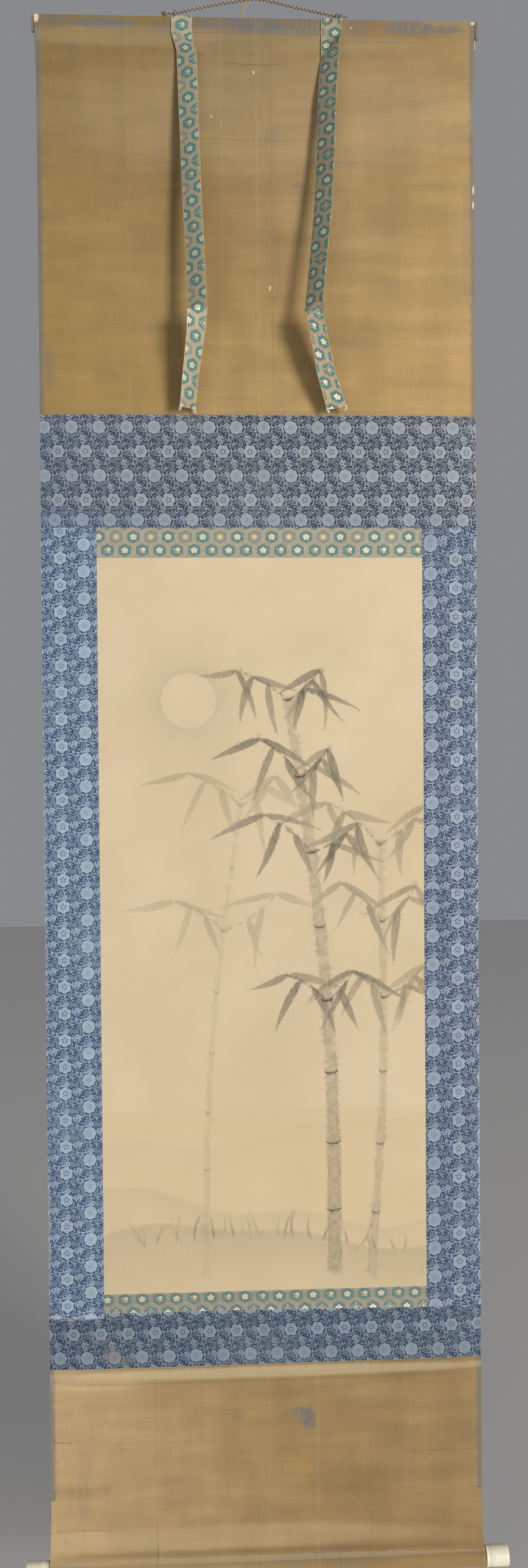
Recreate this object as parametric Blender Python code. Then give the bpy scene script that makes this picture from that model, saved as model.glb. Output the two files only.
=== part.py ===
"""A hanging scroll painting: silk panels, damask borders, brocade strips, stave, roller and cords.

Metres, +Z up. The face of the scroll looks along -Y. The origin is the top of the
hanging cord, where it lies over a hook that isn't part of the scroll.
"""

import math

import bmesh
import bpy
import numpy as np
from mathutils import Vector

# Driving sizes of the mounted scroll
CLOTH_WIDTH = 0.544
PAPER_LEFT = -0.2035
PAPER_RIGHT = 0.2028
SHEET_THICK = 0.0012
GAP = 0.0003
BACK = 0.0

# Seam heights, down from the hook
STAVE_TOP = -0.025
TOP_PANEL_END = -0.517
TOP_BAND_END = -0.634
NARROW_STRIP_END = -0.6565
PAPER_TOP = -0.694
PAPER_END = -1.614
BROCADE_END = -1.6372
LEFT_COLUMN_END = -1.6432
RIGHT_COLUMN_END = -1.6392
BOTTOM_BAND_END_LEFT = -1.7078
BOTTOM_BAND_END_RIGHT = -1.7057
PATCH_END = -0.6748
RIGHT_COLUMN_JOIN = -1.111

# How much wider the cloth is at the stave, and how fast it narrows again
STAVE_FLARE = 0.0018
STAVE_FLARE_DROP = 0.05
ROLLER_FLARE_RISE = 0.028

# Stave and its sleeve
STAVE_DEPTH = 0.008
STAVE_HEIGHT = 0.019
STAVE_LENGTH = 0.548
COVER_THICK = 0.0030
COVER_TURN = 88
COVER_EDGE = 0.0008
SLEEVE_FLAP = 0.014
SLEEVE_TURN = -72
FLAP_LEAVES = 0.0022
PANEL_LEAVES = 0.004

# Roller and its pocket
ROLLER_Z = -1.959
ROLLER_Y = -0.0035
ROLLER_CORE_RADIUS = 0.0111
ROLLER_END_RADIUS = 0.0126
ROLLER_END_LENGTH = 0.029
POCKET_WIDTH = 0.5490
POCKET_FLAP = 0.012
POCKET_SWEEP = 290.0
ROLLER_TOUCH = 60.0
ROLLER_LEAVES = 0.032
ROLLER_EASE = 0.013
TOUCH_EASE = 0.006
ROLLER_RIM = 0.0022
ROLLER_WIDE_BELOW = 0.012

# The pocket's flap behind: how far behind its resting plane, and how high above the roller
FLAP_PATH = [(0.0009, 0.0150), (0.0002, 0.0190), (0.0, 0.0230), (0.0, 0.0230 + POCKET_FLAP)]

# Cords and their eyelets
HANG_CORD_RADIUS = 0.0018
WIND_CORD_WIDTH = 0.006
WIND_CORD_THICK = 0.0015
CORD_Y = 0.0036
EYELET_X = 0.1005
EYELET_RING = 0.0034
EYELET_WIRE = 0.0008
WASHER_RADIUS = 0.0022
WASHER_THICK = 0.0006
NECK_HEIGHT = 0.0014
NECK_TAPER = 0.55
HANG_CORD_STEP = 0.0042
WIND_CORD_STEP = 0.0180

# The knots on the hanging cord, from the cord outward: distance along and radius
LEFT_KNOT = [
    (0.0000, 0.0014),
    (0.0010, 0.0027),
    (0.0028, 0.0034),
    (0.0045, 0.0033),
    (0.0062, 0.0025),
    (0.0072, 0.0012),
]
RIGHT_KNOT = [
    (0.0000, 0.0016),
    (0.0008, 0.0027),
    (0.0022, 0.0031),
    (0.0036, 0.0026),
    (0.0045, 0.0018),
    (0.0085, 0.0018),
    (0.0096, 0.0010),
]

# Streamers and their tufts
STREAMER_WIDTH = 0.0256
STREAMER_THICK = 0.0010
TUFT_HEAD = 0.0016
TUFT_HEAD_DROP = 0.0014
TUFT_CLEAR = 0.0004
TUFT_HEAD_GROWS = 1.15
TUFT_LENGTH = 0.0085
THREAD_SPREAD = 0.0011
THREAD_INSET = 0.00006

# One thread of a tuft, in two lengths: share of the length and how much it narrows
THREAD_LENGTHS = [(0.45, 0.90), (0.55, 0.55)]

# Mesh steps
COARSE_STEP = 0.028
FINE_STEP = 0.0055
RIDGE_REACH = 0.034
STEP_HALF = 0.0001
LOWER_PANEL_ROWS = 17
STAVE_STEPS = 12
POCKET_STEPS = 16
ROUND_SIDES = 32
KNOT_SIDES = 12
RING_STEPS = 20
WIRE_SIDES = 8
WIDE_COLUMNS = 13
PAPER_COLUMNS = 10
SIDE_COLUMNS = 3

# Relief of the hanging cloth, one row for each soft fold: height and its rise from the left
# edge to the right one, how far it stands forward, its half height, and the middle and the
# half length of the stretch of the width that it runs over
FOLD_COLUMNS = ("z", "rise", "forward", "spread", "middle", "reach")
FOLDS = [
    (-1.6430, 0.0040, 0.0030, 0.0085, 0.00, 0.90),
    (-1.7160, 0.0010, 0.0014, 0.0075, 0.00, 0.90),
    (-1.7520, 0.0060, -0.0012, 0.0160, -0.10, 0.30),
    (-1.8180, -0.0080, 0.0012, 0.0140, 0.16, 0.16),
    (-1.8660, 0.0060, -0.0014, 0.0120, 0.20, 0.14),
    (-1.8620, 0.0050, 0.0013, 0.0150, -0.20, 0.15),
    (-1.8950, 0.0040, -0.0012, 0.0130, -0.18, 0.16),
    (-0.0960, 0.0000, 0.0010, 0.0160, 0.00, 0.16),
    (-0.1810, 0.0020, -0.0012, 0.0120, 0.01, 0.14),
    (-0.3600, 0.0060, 0.0012, 0.0350, 0.12, 0.24),
    (-0.5050, 0.0000, 0.0012, 0.0120, 0.00, 0.90),
    (-0.6400, 0.0000, -0.0010, 0.0160, 0.00, 0.90),
    (-0.9300, 0.0100, 0.0016, 0.0600, -0.08, 0.40),
    (-1.1900, -0.0080, -0.0014, 0.0500, 0.06, 0.40),
    (-1.3840, 0.0000, 0.0009, 0.0120, 0.00, 0.90),
    (-1.5200, 0.0060, -0.0012, 0.0450, 0.05, 0.40),
]
EDGE_CURL = 0.0026
EDGE_BAND = 0.055
FADE = 0.035

# The flat pieces between the seams: name, part of the width, seam above, seam below, finish,
# and whether the ridge above the bottom band runs across it
PANELS = [
    ("blue_top_band", "whole", TOP_PANEL_END, TOP_BAND_END, "navy_damask", False),
    ("blue_narrow_strip", "whole", TOP_BAND_END, NARROW_STRIP_END, "navy_damask", False),
    ("brocade_strip_top", "paper", NARROW_STRIP_END, PAPER_TOP, "hexagon_brocade", False),
    ("painting_sheet", "paper", PAPER_TOP, PAPER_END, "painting_paper", False),
    ("brocade_strip_bottom", "paper", PAPER_END, BROCADE_END, "hexagon_brocade", True),
    ("blue_column_left", "left", NARROW_STRIP_END, LEFT_COLUMN_END, "blue_damask", True),
    ("blue_column_right_patch", "right", NARROW_STRIP_END, PATCH_END, "blue_damask", False),
    ("blue_column_right_upper", "right", PATCH_END, RIGHT_COLUMN_JOIN, "blue_damask", False),
    ("blue_column_right_lower", "right", RIGHT_COLUMN_JOIN, RIGHT_COLUMN_END, "blue_damask", True),
]

# Streamers, one row for each bend: drop, middle, stand-off in front of the cloth, and the
# turn in degrees that faces the strip to the right
STREAMER_COLUMNS = ("z", "x", "off", "turn")
STREAMER_LEFT = [
    (-0.0440, -0.0925, 0.0, 0),
    (-0.0485, -0.0925, 0.0008, 0),
    (-0.0560, -0.0910, 0.0028, -8),
    (-0.0720, -0.0866, 0.0074, -20),
    (-0.1310, -0.0849, 0.0150, -20),
    (-0.2040, -0.0831, 0.0240, -26),
    (-0.2750, -0.0807, 0.0320, -27),
    (-0.3270, -0.0781, 0.0375, -28),
    (-0.3960, -0.0757, 0.0430, -30),
    (-0.4020, -0.0758, 0.0425, 20),
    (-0.4290, -0.0783, 0.0370, 34),
    (-0.4740, -0.0848, 0.0250, 42),
    (-0.5135, -0.0891, 0.0160, 43),
]
STREAMER_RIGHT = [
    (-0.0440, 0.0934, 0.0, 0),
    (-0.0485, 0.0934, 0.0008, 0),
    (-0.0600, 0.0925, 0.0044, -12),
    (-0.0740, 0.0905, 0.0088, -27),
    (-0.1280, 0.0862, 0.0160, -34),
    (-0.2010, 0.0829, 0.0240, -38),
    (-0.2730, 0.0782, 0.0320, -36),
    (-0.3260, 0.0728, 0.0375, -38),
    (-0.3970, 0.0654, 0.0430, -38),
    (-0.4030, 0.0660, 0.0425, 30),
    (-0.4280, 0.0712, 0.0370, 30),
    (-0.4730, 0.0815, 0.0250, 22),
    (-0.5128, 0.0952, 0.0160, 8),
]
STREAMER_STEP = 0.016

# The strip's turned-over upper end: share of its way forward and drop from its highest point
STREAMER_LIP = [(-0.2857, 0.0), (0.4286, 0.0001), (0.93, 0.0007), (1.0, 0.0020)]

# The hanging cord's route from knot to hitch: across and up
HANG_ROUTE = [
    (-0.1106, -0.0202),
    (-0.1060, -0.0200),
    (-0.1005, -0.0196),
    (-0.0960, -0.0187),
    (-0.0758, -0.0138),
    (-0.0531, -0.0089),
    (-0.0300, -0.0044),
    (-0.0130, -0.0014),
    (-0.0040, -0.0002),
    (0.0000, 0.0000),
    (0.0040, -0.0003),
    (0.0130, -0.0018),
    (0.0300, -0.0052),
    (0.0454, -0.0087),
    (0.0758, -0.0149),
    (0.0960, -0.0189),
    (0.1005, -0.0196),
    (0.1030, -0.0199),
]

# The winding cord's route: across, back and up, then straight down behind the cloth
WIND_ROUTE = [
    (-0.0107, 0.0036, -0.0042),
    (-0.0122, 0.0037, -0.0062),
    (-0.0150, 0.0042, -0.0098),
    (-0.0170, 0.0050, -0.0150),
    (-0.0177, 0.0060, -0.0205),
    (-0.0178, 0.0074, -0.0250),
    (-0.0178, 0.0094, -0.0280),
    (-0.0178, 0.0112, -0.0320),
    (-0.0178, 0.0118, -0.0370),
    (-0.0177, 0.0117, -0.0500),
    (-0.0172, 0.0108, -0.0900),
    (-0.0160, 0.0098, -0.2000),
    (-0.0140, 0.0092, -0.4000),
    (-0.0130, 0.0094, -0.6500),
    (-0.0145, 0.0098, -0.9000),
    (-0.0165, 0.0100, -1.1900),
]


def clear_scene():
    for old in list(bpy.data.objects):
        bpy.data.objects.remove(old, do_unlink=True)


def make_material(name, color, roughness, metallic=0.0):
    material = bpy.data.materials.new(name)
    material.use_nodes = True
    shader = material.node_tree.nodes["Principled BSDF"]
    shader.inputs["Base Color"].default_value = (*color, 1.0)
    shader.inputs["Roughness"].default_value = roughness
    shader.inputs["Metallic"].default_value = metallic
    material.diffuse_color = (*color, 1.0)
    return material


def add_object(name, mesh, material):
    mesh.materials.clear()
    mesh.materials.append(material)
    piece = bpy.data.objects.new(name, mesh)
    bpy.context.scene.collection.objects.link(piece)
    return piece


def finish_mesh(bm, name, smooth_angle=40.0):
    """Turn a bmesh into a closed, outward-facing mesh with round parts shaded smooth."""
    bmesh.ops.recalc_face_normals(bm, faces=bm.faces[:])
    mesh = bpy.data.meshes.new(name)
    bm.to_mesh(mesh)
    bm.free()
    mesh.shade_smooth()
    mesh.set_sharp_from_angle(angle=math.radians(smooth_angle))
    return mesh


def smooth_step(t):
    t = min(max(t, 0.0), 1.0)
    return t * t * (3.0 - 2.0 * t)


# The hanging surface of the cloth
def half_width(z):
    """Half the cloth's width, a little wider at the stave and at the roller."""
    stave_flare = STAVE_FLARE * min(math.exp((z - STAVE_TOP) / STAVE_FLARE_DROP), 1.0)
    roller_flare = 0.5 * (POCKET_WIDTH - CLOTH_WIDTH)
    roller_flare *= min(math.exp((ROLLER_Z - z) / ROLLER_FLARE_RISE), 1.0)
    return 0.5 * CLOTH_WIDTH + stave_flare + roller_flare


def cloth_y(x, z):
    """How far the middle of the cloth lies behind the plane that it hangs in."""
    y = 0.0
    for row in FOLDS:
        fold = dict(zip(FOLD_COLUMNS, row))
        line = fold["z"] + fold["rise"] * x / CLOTH_WIDTH
        across = (x - fold["middle"]) / fold["reach"]
        along = (z - line) / fold["spread"]
        y -= fold["forward"] * math.exp(-along * along - across * across)
    past = (abs(x) - 0.5 * CLOTH_WIDTH + EDGE_BAND) / EDGE_BAND
    y += EDGE_CURL * max(past, 0.0) ** 2
    below_stave = smooth_step((STAVE_TOP - 1.3 * STAVE_HEIGHT - z) / FADE)
    above_roller = smooth_step((z - ROLLER_Z - ROLLER_LEAVES) / FADE)
    return y * below_stave * above_roller


def cloth_solid(name, rows, thick, material):
    """A closed sheet around a grid of middle points, rows running down and columns right."""
    down, across = len(rows), len(rows[0])
    points = np.array([[tuple(p) for p in row] for row in rows])
    along_rows = np.gradient(points, axis=0)
    along_columns = np.gradient(points, axis=1)
    normals = np.cross(along_columns, along_rows)
    normals /= np.linalg.norm(normals, axis=2, keepdims=True)
    bm = bmesh.new()
    sides = []
    for side in (-1.0, 1.0):
        offset = points + normals * (side * 0.5 * thick)
        sides.append([[bm.verts.new(p) for p in row] for row in offset])
    for grid in sides:
        for i in range(down - 1):
            for j in range(across - 1):
                bm.faces.new((grid[i][j], grid[i][j + 1], grid[i + 1][j + 1], grid[i + 1][j]))
    rim = [(0, j) for j in range(across)]
    rim += [(i, across - 1) for i in range(1, down)]
    rim += [(down - 1, j) for j in range(across - 2, -1, -1)]
    rim += [(i, 0) for i in range(down - 2, 0, -1)]
    front, back = sides
    for (i, j), (k, m) in zip(rim, rim[1:] + rim[:1]):
        bm.faces.new((front[i][j], front[k][m], back[k][m], back[i][j]))
    return add_object(name, finish_mesh(bm, name, 50.0), material)


def steps_down(top, bottom, ridge=None):
    """Heights from one seam to the next, closer together near a ridge."""
    heights = [top]
    z = top
    while z - bottom > 1e-6:
        near = ridge is not None and abs(z - ridge) < RIDGE_REACH
        step = FINE_STEP if near else COARSE_STEP
        if ridge is not None and not near and z > ridge:
            step = min(step, max(z - ridge - RIDGE_REACH + FINE_STEP, FINE_STEP))
        z = max(z - step, bottom)
        if z - bottom < 0.4 * step:
            z = bottom
        heights.append(z)
    return heights


def flat_panel(name, sides, ends, columns, material, ridge=None):
    """A piece of the cloth between two side lines and two seams."""
    left, right = sides
    top, bottom = ends
    mid_top = top(0.5 * (left(top(0.0)) + right(top(0.0))))
    mid_bottom = bottom(0.5 * (left(bottom(0.0)) + right(bottom(0.0))))
    shares = [(mid_top - z) / (mid_top - mid_bottom) for z in steps_down(mid_top, mid_bottom, ridge)]
    rows = []
    for share in shares:
        guess = mid_top + (mid_bottom - mid_top) * share
        row = []
        for column in columns:
            x = left(guess) + (right(guess) - left(guess)) * column
            z = top(x) + (bottom(x) - top(x)) * share
            row.append(Vector((x, cloth_y(x, z), z)))
        rows.append(row)
    return cloth_solid(name, rows, SHEET_THICK, material)


def even(count):
    return [i / count for i in range(count + 1)]


def level(value):
    """A straight seam or side line."""
    return lambda place: value


def bottom_band_top(x):
    """The bottom band's upper edge, which steps down to meet the longer left column."""
    if x < PAPER_LEFT:
        return LEFT_COLUMN_END
    return BROCADE_END + (RIGHT_COLUMN_END - BROCADE_END) * smooth_step(x / PAPER_RIGHT)


def bottom_band_end(x):
    share = x / CLOTH_WIDTH + 0.5
    return BOTTOM_BAND_END_LEFT + (BOTTOM_BAND_END_RIGHT - BOTTOM_BAND_END_LEFT) * share


def below(seam):
    return lambda x: seam(x) - 0.5 * GAP


def above(seam):
    return lambda x: seam(x) + 0.5 * GAP


def cloth_left(z):
    return -half_width(z)


def make_borders(finishes):
    """The damask bands and columns, the brocade strips and the painting sheet."""
    half_gap = 0.5 * GAP
    parts = {
        "whole": (cloth_left, half_width, even(WIDE_COLUMNS)),
        "paper": (level(PAPER_LEFT + half_gap), level(PAPER_RIGHT - half_gap), even(PAPER_COLUMNS)),
        "left": (cloth_left, level(PAPER_LEFT - half_gap), even(SIDE_COLUMNS)),
        "right": (level(PAPER_RIGHT + half_gap), half_width, even(SIDE_COLUMNS)),
    }
    for name, part, upper, lower, finish, ridged in PANELS:
        left, right, columns = parts[part]
        ends = (below(level(upper)), above(level(lower)))
        ridge = LEFT_COLUMN_END if ridged else None
        flat_panel(name, (left, right), ends, columns, finishes[finish], ridge)
    step = [(PAPER_LEFT + side * STEP_HALF) / CLOTH_WIDTH + 0.5 for side in (-1.0, 1.0)]
    beyond = [step[1] + (1.0 - step[1]) * share for share in even(WIDE_COLUMNS - 2)[1:]]
    flat_panel(
        "blue_bottom_band",
        (cloth_left, half_width),
        (below(bottom_band_top), above(bottom_band_end)),
        [0.0, 0.5 * step[0]] + step + beyond,
        finishes["navy_damask"],
        LEFT_COLUMN_END,
    )


# Stave, sleeve and top panel
def stave_middle():
    sleeve_half = 0.5 * STAVE_HEIGHT + GAP + SHEET_THICK
    return STAVE_TOP - sleeve_half


def stave_outline(grow, start, stop, steps):
    """Points of the stave's round back, grown outward, from one angle to another."""
    face = 0.5 * SHEET_THICK + GAP
    points = []
    for i in range(steps + 1):
        angle = math.radians(start + (stop - start) * i / steps)
        y = face + (STAVE_DEPTH + grow) * math.cos(angle)
        z = stave_middle() + (0.5 * STAVE_HEIGHT + grow) * math.sin(angle)
        points.append((y, z))
    return points


def make_stave(wood):
    """The half-round rod and its length, flat side to the front."""
    outline = stave_outline(0.0, -90, 90, STAVE_STEPS)
    extrude_outline("top_stave", outline, STAVE_LENGTH, 0.0, wood)


def extrude_outline(name, outline, length, middle, material):
    """A prism along X whose section is a closed outline of (y, z) points."""
    bm = bmesh.new()
    ends = []
    for x in (middle - 0.5 * length, middle + 0.5 * length):
        ends.append([bm.verts.new((x, y, z)) for y, z in outline])
    bm.faces.new(ends[0])
    bm.faces.new(ends[1])
    count = len(outline)
    for i in range(count):
        j = (i + 1) % count
        bm.faces.new((ends[0][i], ends[0][j], ends[1][j], ends[1][i]))
    return add_object(name, finish_mesh(bm, name), material)


def make_stave_covers(brown):
    """The cloth pasted over each end of the stave, as tall and deep as the sleeve."""
    grown = GAP + SHEET_THICK
    outline = stave_outline(grown, -COVER_TURN, COVER_TURN, STAVE_STEPS)
    outline += [(-0.5 * SHEET_THICK, outline[-1][1] - COVER_EDGE)]
    outline += [(-0.5 * SHEET_THICK, outline[0][1] + COVER_EDGE)]
    middle = 0.5 * (STAVE_LENGTH + COVER_THICK) + GAP
    for side, place in (("left", -middle), ("right", middle)):
        extrude_outline(f"stave_cover_{side}", outline, COVER_THICK, place, brown)


def make_top_panel(brown):
    """The top panel, from its pasted flap over the stave and down the front."""
    to_middle = GAP + 0.5 * SHEET_THICK
    flap_y = SHEET_THICK + GAP
    stave_foot = stave_middle() - 0.5 * STAVE_HEIGHT
    flap = (SLEEVE_FLAP, 0.5 * SLEEVE_FLAP, FLAP_LEAVES)
    path = [(flap_y, stave_foot - drop) for drop in flap]
    path += stave_outline(to_middle, SLEEVE_TURN, 90, STAVE_STEPS)
    corner = stave_middle() + 0.5 * STAVE_HEIGHT
    for degrees in (120, 150, 180):
        angle = math.radians(degrees)
        y = 0.5 * SHEET_THICK + GAP + to_middle * math.cos(angle)
        path.append((y, corner + to_middle * math.sin(angle)))
    wrapped = len(path)
    hang_from = stave_foot - PANEL_LEAVES
    heights = [0.5 * (corner + hang_from), hang_from]
    heights += steps_down(hang_from - 0.4 * FADE, TOP_PANEL_END + 0.5 * GAP)
    path += [(BACK, z) for z in heights]
    rows = []
    for i, (y, z) in enumerate(path):
        half = half_width(z) if i >= wrapped else 0.5 * STAVE_LENGTH
        xs = [half * (2.0 * share - 1.0) for share in even(WIDE_COLUMNS)]
        relief = i >= wrapped
        rows.append([Vector((x, y + (cloth_y(x, z) if relief else 0.0), z)) for x in xs])
    return cloth_solid("top_panel", rows, SHEET_THICK, brown)


# Roller, pocket and lower panel
def pocket_path():
    """The lower panel's run from above the roller, round it and up behind, as (y, z)."""
    radius = ROLLER_CORE_RADIUS + GAP + 0.5 * SHEET_THICK
    touch = math.radians(ROLLER_TOUCH)
    meet = (ROLLER_Y - radius * math.cos(touch), ROLLER_Z + radius * math.sin(touch))
    handles = [
        (BACK, ROLLER_Z + ROLLER_LEAVES),
        (BACK, ROLLER_Z + ROLLER_LEAVES - ROLLER_EASE),
        (meet[0] + TOUCH_EASE * math.sin(touch), meet[1] + TOUCH_EASE * math.cos(touch)),
        meet,
    ]
    path = []
    for t in even(6)[1:-1]:
        weights = ((1 - t) ** 3, 3 * t * (1 - t) ** 2, 3 * t * t * (1 - t), t**3)
        y = sum(w * h[0] for w, h in zip(weights, handles))
        z = sum(w * h[1] for w, h in zip(weights, handles))
        path.append((y, z))
    for i in range(POCKET_STEPS + 1):
        angle = math.radians(180.0 - ROLLER_TOUCH + POCKET_SWEEP * i / POCKET_STEPS)
        path.append((ROLLER_Y + radius * math.cos(angle), ROLLER_Z + radius * math.sin(angle)))
    return path + [(SHEET_THICK + GAP + y, ROLLER_Z + z) for y, z in FLAP_PATH]


def make_lower_panel(brown):
    top = below(bottom_band_end)
    bottom = ROLLER_Z + ROLLER_LEAVES
    rows = []
    for share in even(LOWER_PANEL_ROWS):
        row = []
        for column in even(WIDE_COLUMNS):
            guess = BOTTOM_BAND_END_LEFT + (bottom - BOTTOM_BAND_END_LEFT) * share
            x = half_width(guess) * (2.0 * column - 1.0)
            z = top(x) + (bottom - top(x)) * share
            row.append(Vector((x, cloth_y(x, z), z)))
        rows.append(row)
    widest_from = ROLLER_Z + ROLLER_WIDE_BELOW
    for y, z in pocket_path():
        half = half_width(z) if z > widest_from or y < BACK else 0.5 * POCKET_WIDTH
        rows.append([Vector((half * (2.0 * c - 1.0), y, z)) for c in even(WIDE_COLUMNS)])
    return cloth_solid("lower_panel", rows, SHEET_THICK, brown)


def turned_x(name, profile, start, direction, center, material, segments=ROUND_SIDES):
    """A round piece about X: profile rows of distance along and radius."""
    bm = bmesh.new()
    rings = []
    for along, radius in profile:
        ring = []
        for i in range(segments):
            angle = 2.0 * math.pi * i / segments
            y = center[0] + radius * math.cos(angle)
            z = center[1] + radius * math.sin(angle)
            ring.append(bm.verts.new((start + direction * along, y, z)))
        rings.append(ring)
    bm.faces.new(rings[0])
    bm.faces.new(rings[-1])
    for a, b in zip(rings, rings[1:]):
        for i in range(segments):
            j = (i + 1) % segments
            bm.faces.new((a[i], a[j], b[j], b[i]))
    return add_object(name, finish_mesh(bm, name), material)


def make_roller(wood, ivory):
    center = (ROLLER_Y, ROLLER_Z)
    core_half = 0.5 * POCKET_WIDTH
    core = [(0.0, ROLLER_CORE_RADIUS), (2.0 * core_half, ROLLER_CORE_RADIUS)]
    turned_x("roller_core", core, -core_half, 1.0, center, wood)
    rim = ROLLER_RIM
    profile = [(0.0, ROLLER_END_RADIUS)]
    for i in range(5):
        angle = math.radians(90.0 * i / 4)
        along = ROLLER_END_LENGTH - rim + rim * math.sin(angle)
        profile.append((along, ROLLER_END_RADIUS - rim + rim * math.cos(angle)))
    for side, direction in (("left", -1.0), ("right", 1.0)):
        start = direction * (core_half + GAP)
        turned_x(f"roller_end_{side}", profile, start, direction, center, ivory)


# Eyelets and cords
def eyelet_height():
    return STAVE_TOP + GAP + WASHER_THICK + EYELET_RING + 0.5 * EYELET_WIRE


def make_eyelets(metal):
    """A ring on a short neck and washer; the ring stands across the stave."""
    for side, x in (("left", -EYELET_X), ("right", EYELET_X)):
        bpy.ops.mesh.primitive_torus_add(
            major_radius=EYELET_RING,
            minor_radius=EYELET_WIRE,
            major_segments=RING_STEPS,
            minor_segments=WIRE_SIDES,
            location=(x, CORD_Y, eyelet_height()),
            rotation=(0.0, math.radians(90.0), 0.0),
        )
        ring = bpy.context.object
        ring.name = f"eyelet_{side}"
        ring.data.materials.append(metal)
        bpy.ops.mesh.primitive_cylinder_add(
            vertices=2 * WIRE_SIDES,
            radius=WASHER_RADIUS,
            depth=NECK_HEIGHT,
            location=(x, CORD_Y, STAVE_TOP + GAP + 0.5 * NECK_HEIGHT),
        )
        foot = bpy.context.object
        foot.name = f"eyelet_foot_{side}"
        for vertex in foot.data.vertices:
            if vertex.co.z > 0.0:
                vertex.co.x *= NECK_TAPER
                vertex.co.y *= NECK_TAPER
        foot.hide_render = True
        foot.display_type = "WIRE"
        join = ring.modifiers.new("foot", "BOOLEAN")
        join.operation = "UNION"
        join.object = foot
        ring.data.shade_smooth()


def smooth_route(points, step):
    """Points of a smooth curve through a route, about a step apart."""
    route = [Vector(p) for p in points]
    route = [route[0] * 2 - route[1]] + route + [route[-1] * 2 - route[-2]]
    fine = []
    for a, b, c, d in zip(route, route[1:], route[2:], route[3:]):
        count = max(1, round((c - b).length / step))
        for i in range(count):
            t = i / count
            fine.append(
                0.5
                * (
                    2 * b
                    + (c - a) * t
                    + (2 * a - 5 * b + 4 * c - d) * t * t
                    + (3 * b - a - 3 * c + d) * t**3
                )
            )
    return fine + [route[-2]]


def make_hanging_cord(braid):
    """A filled tube from the left knot, over the hook, to the right hitch."""
    points = smooth_route([(x, CORD_Y, z) for x, z in HANG_ROUTE], HANG_CORD_STEP)
    curve = bpy.data.curves.new("hanging_cord", "CURVE")
    curve.dimensions = "3D"
    curve.bevel_depth = HANG_CORD_RADIUS
    curve.bevel_resolution = 2
    curve.use_fill_caps = True
    curve.resolution_u = 1
    spline = curve.splines.new("POLY")
    spline.points.add(len(points) - 1)
    for point, place in zip(spline.points, points):
        point.co = (*place, 1.0)
    curve.materials.append(braid)
    cord = bpy.data.objects.new("hanging_cord", curve)
    bpy.context.scene.collection.objects.link(cord)


def make_knots(braid):
    """The knot outside the left eyelet, and the right hitch with its short tail."""
    start_left = (HANG_ROUTE[0][0] - GAP, HANG_ROUTE[0][1])
    start_right = (HANG_ROUTE[-1][0] + GAP, HANG_ROUTE[-1][1])
    for label, profile, start, way in (
        ("left", LEFT_KNOT, start_left, -1.0),
        ("right", RIGHT_KNOT, start_right, 1.0),
    ):
        center = (CORD_Y, start[1])
        turned_x(f"cord_knot_{label}", profile, start[0], way, center, braid, KNOT_SIDES)


def make_winding_cord(braid):
    """A flat braid as one closed strip, its face to the front."""
    points = smooth_route(WIND_ROUTE, WIND_CORD_STEP)
    rows = []
    for place in points:
        half = 0.5 * WIND_CORD_WIDTH
        rows.append([place + Vector((x, 0.0, 0.0)) for x in (-half, 0.0, half)])
    cloth_solid("winding_cord", rows, WIND_CORD_THICK, braid)


# Streamers and tufts
def streamer_frame(table, z):
    """The strip's middle, stand-off and turn at a height, between the rows of its table."""
    rows = [dict(zip(STREAMER_COLUMNS, row)) for row in table]
    for upper, lower in zip(rows, rows[1:]):
        if z >= lower["z"]:
            share = (upper["z"] - z) / (upper["z"] - lower["z"])
            return {key: upper[key] + (lower[key] - upper[key]) * share for key in upper}
    return rows[-1]


def streamer_rows(table):
    rest_y = -(0.5 * SHEET_THICK + GAP + 0.5 * STREAMER_THICK)
    top = STAVE_TOP + GAP + 0.5 * STREAMER_THICK
    first = table[0]
    rows = []
    half = 0.5 * STREAMER_WIDTH
    lip = [(rest_y * share, top - drop) for share, drop in STREAMER_LIP]
    for y, z in lip + [(rest_y, 0.5 * (top + first[0]))]:
        rows.append([Vector((first[1] + half * side, y, z)) for side in (-1, 0, 1)])
    heights = []
    for upper, lower in zip(table, table[1:]):
        count = max(1, round((upper[0] - lower[0]) / STREAMER_STEP))
        heights += [upper[0] + (lower[0] - upper[0]) * i / count for i in range(count)]
    heights.append(table[-1][0])
    for z in heights:
        at = streamer_frame(table, z)
        turn = math.radians(at["turn"])
        across = Vector((math.cos(turn), math.sin(turn), 0.0)) * half
        middle = Vector((at["x"], rest_y - at["off"], z))
        rows.append([middle - across, middle, middle + across])
    return rows


def make_streamers(brocade, thread):
    for label, table in (("left", STREAMER_LEFT), ("right", STREAMER_RIGHT)):
        rows = streamer_rows(table)
        cloth_solid(f"streamer_{label}", rows, STREAMER_THICK, brocade)
        down = (rows[-1][1] - rows[-2][1]).normalized()
        across = (rows[-1][2] - rows[-1][0]).normalized()
        for side, corner in (("a", rows[-1][0]), ("b", rows[-1][2])):
            inward = across if side == "a" else -across
            place = corner + inward * (0.5 * TUFT_HEAD) + down * TUFT_CLEAR
            make_tuft(f"tuft_{label}_{side}", place, across, down, thread)


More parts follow.
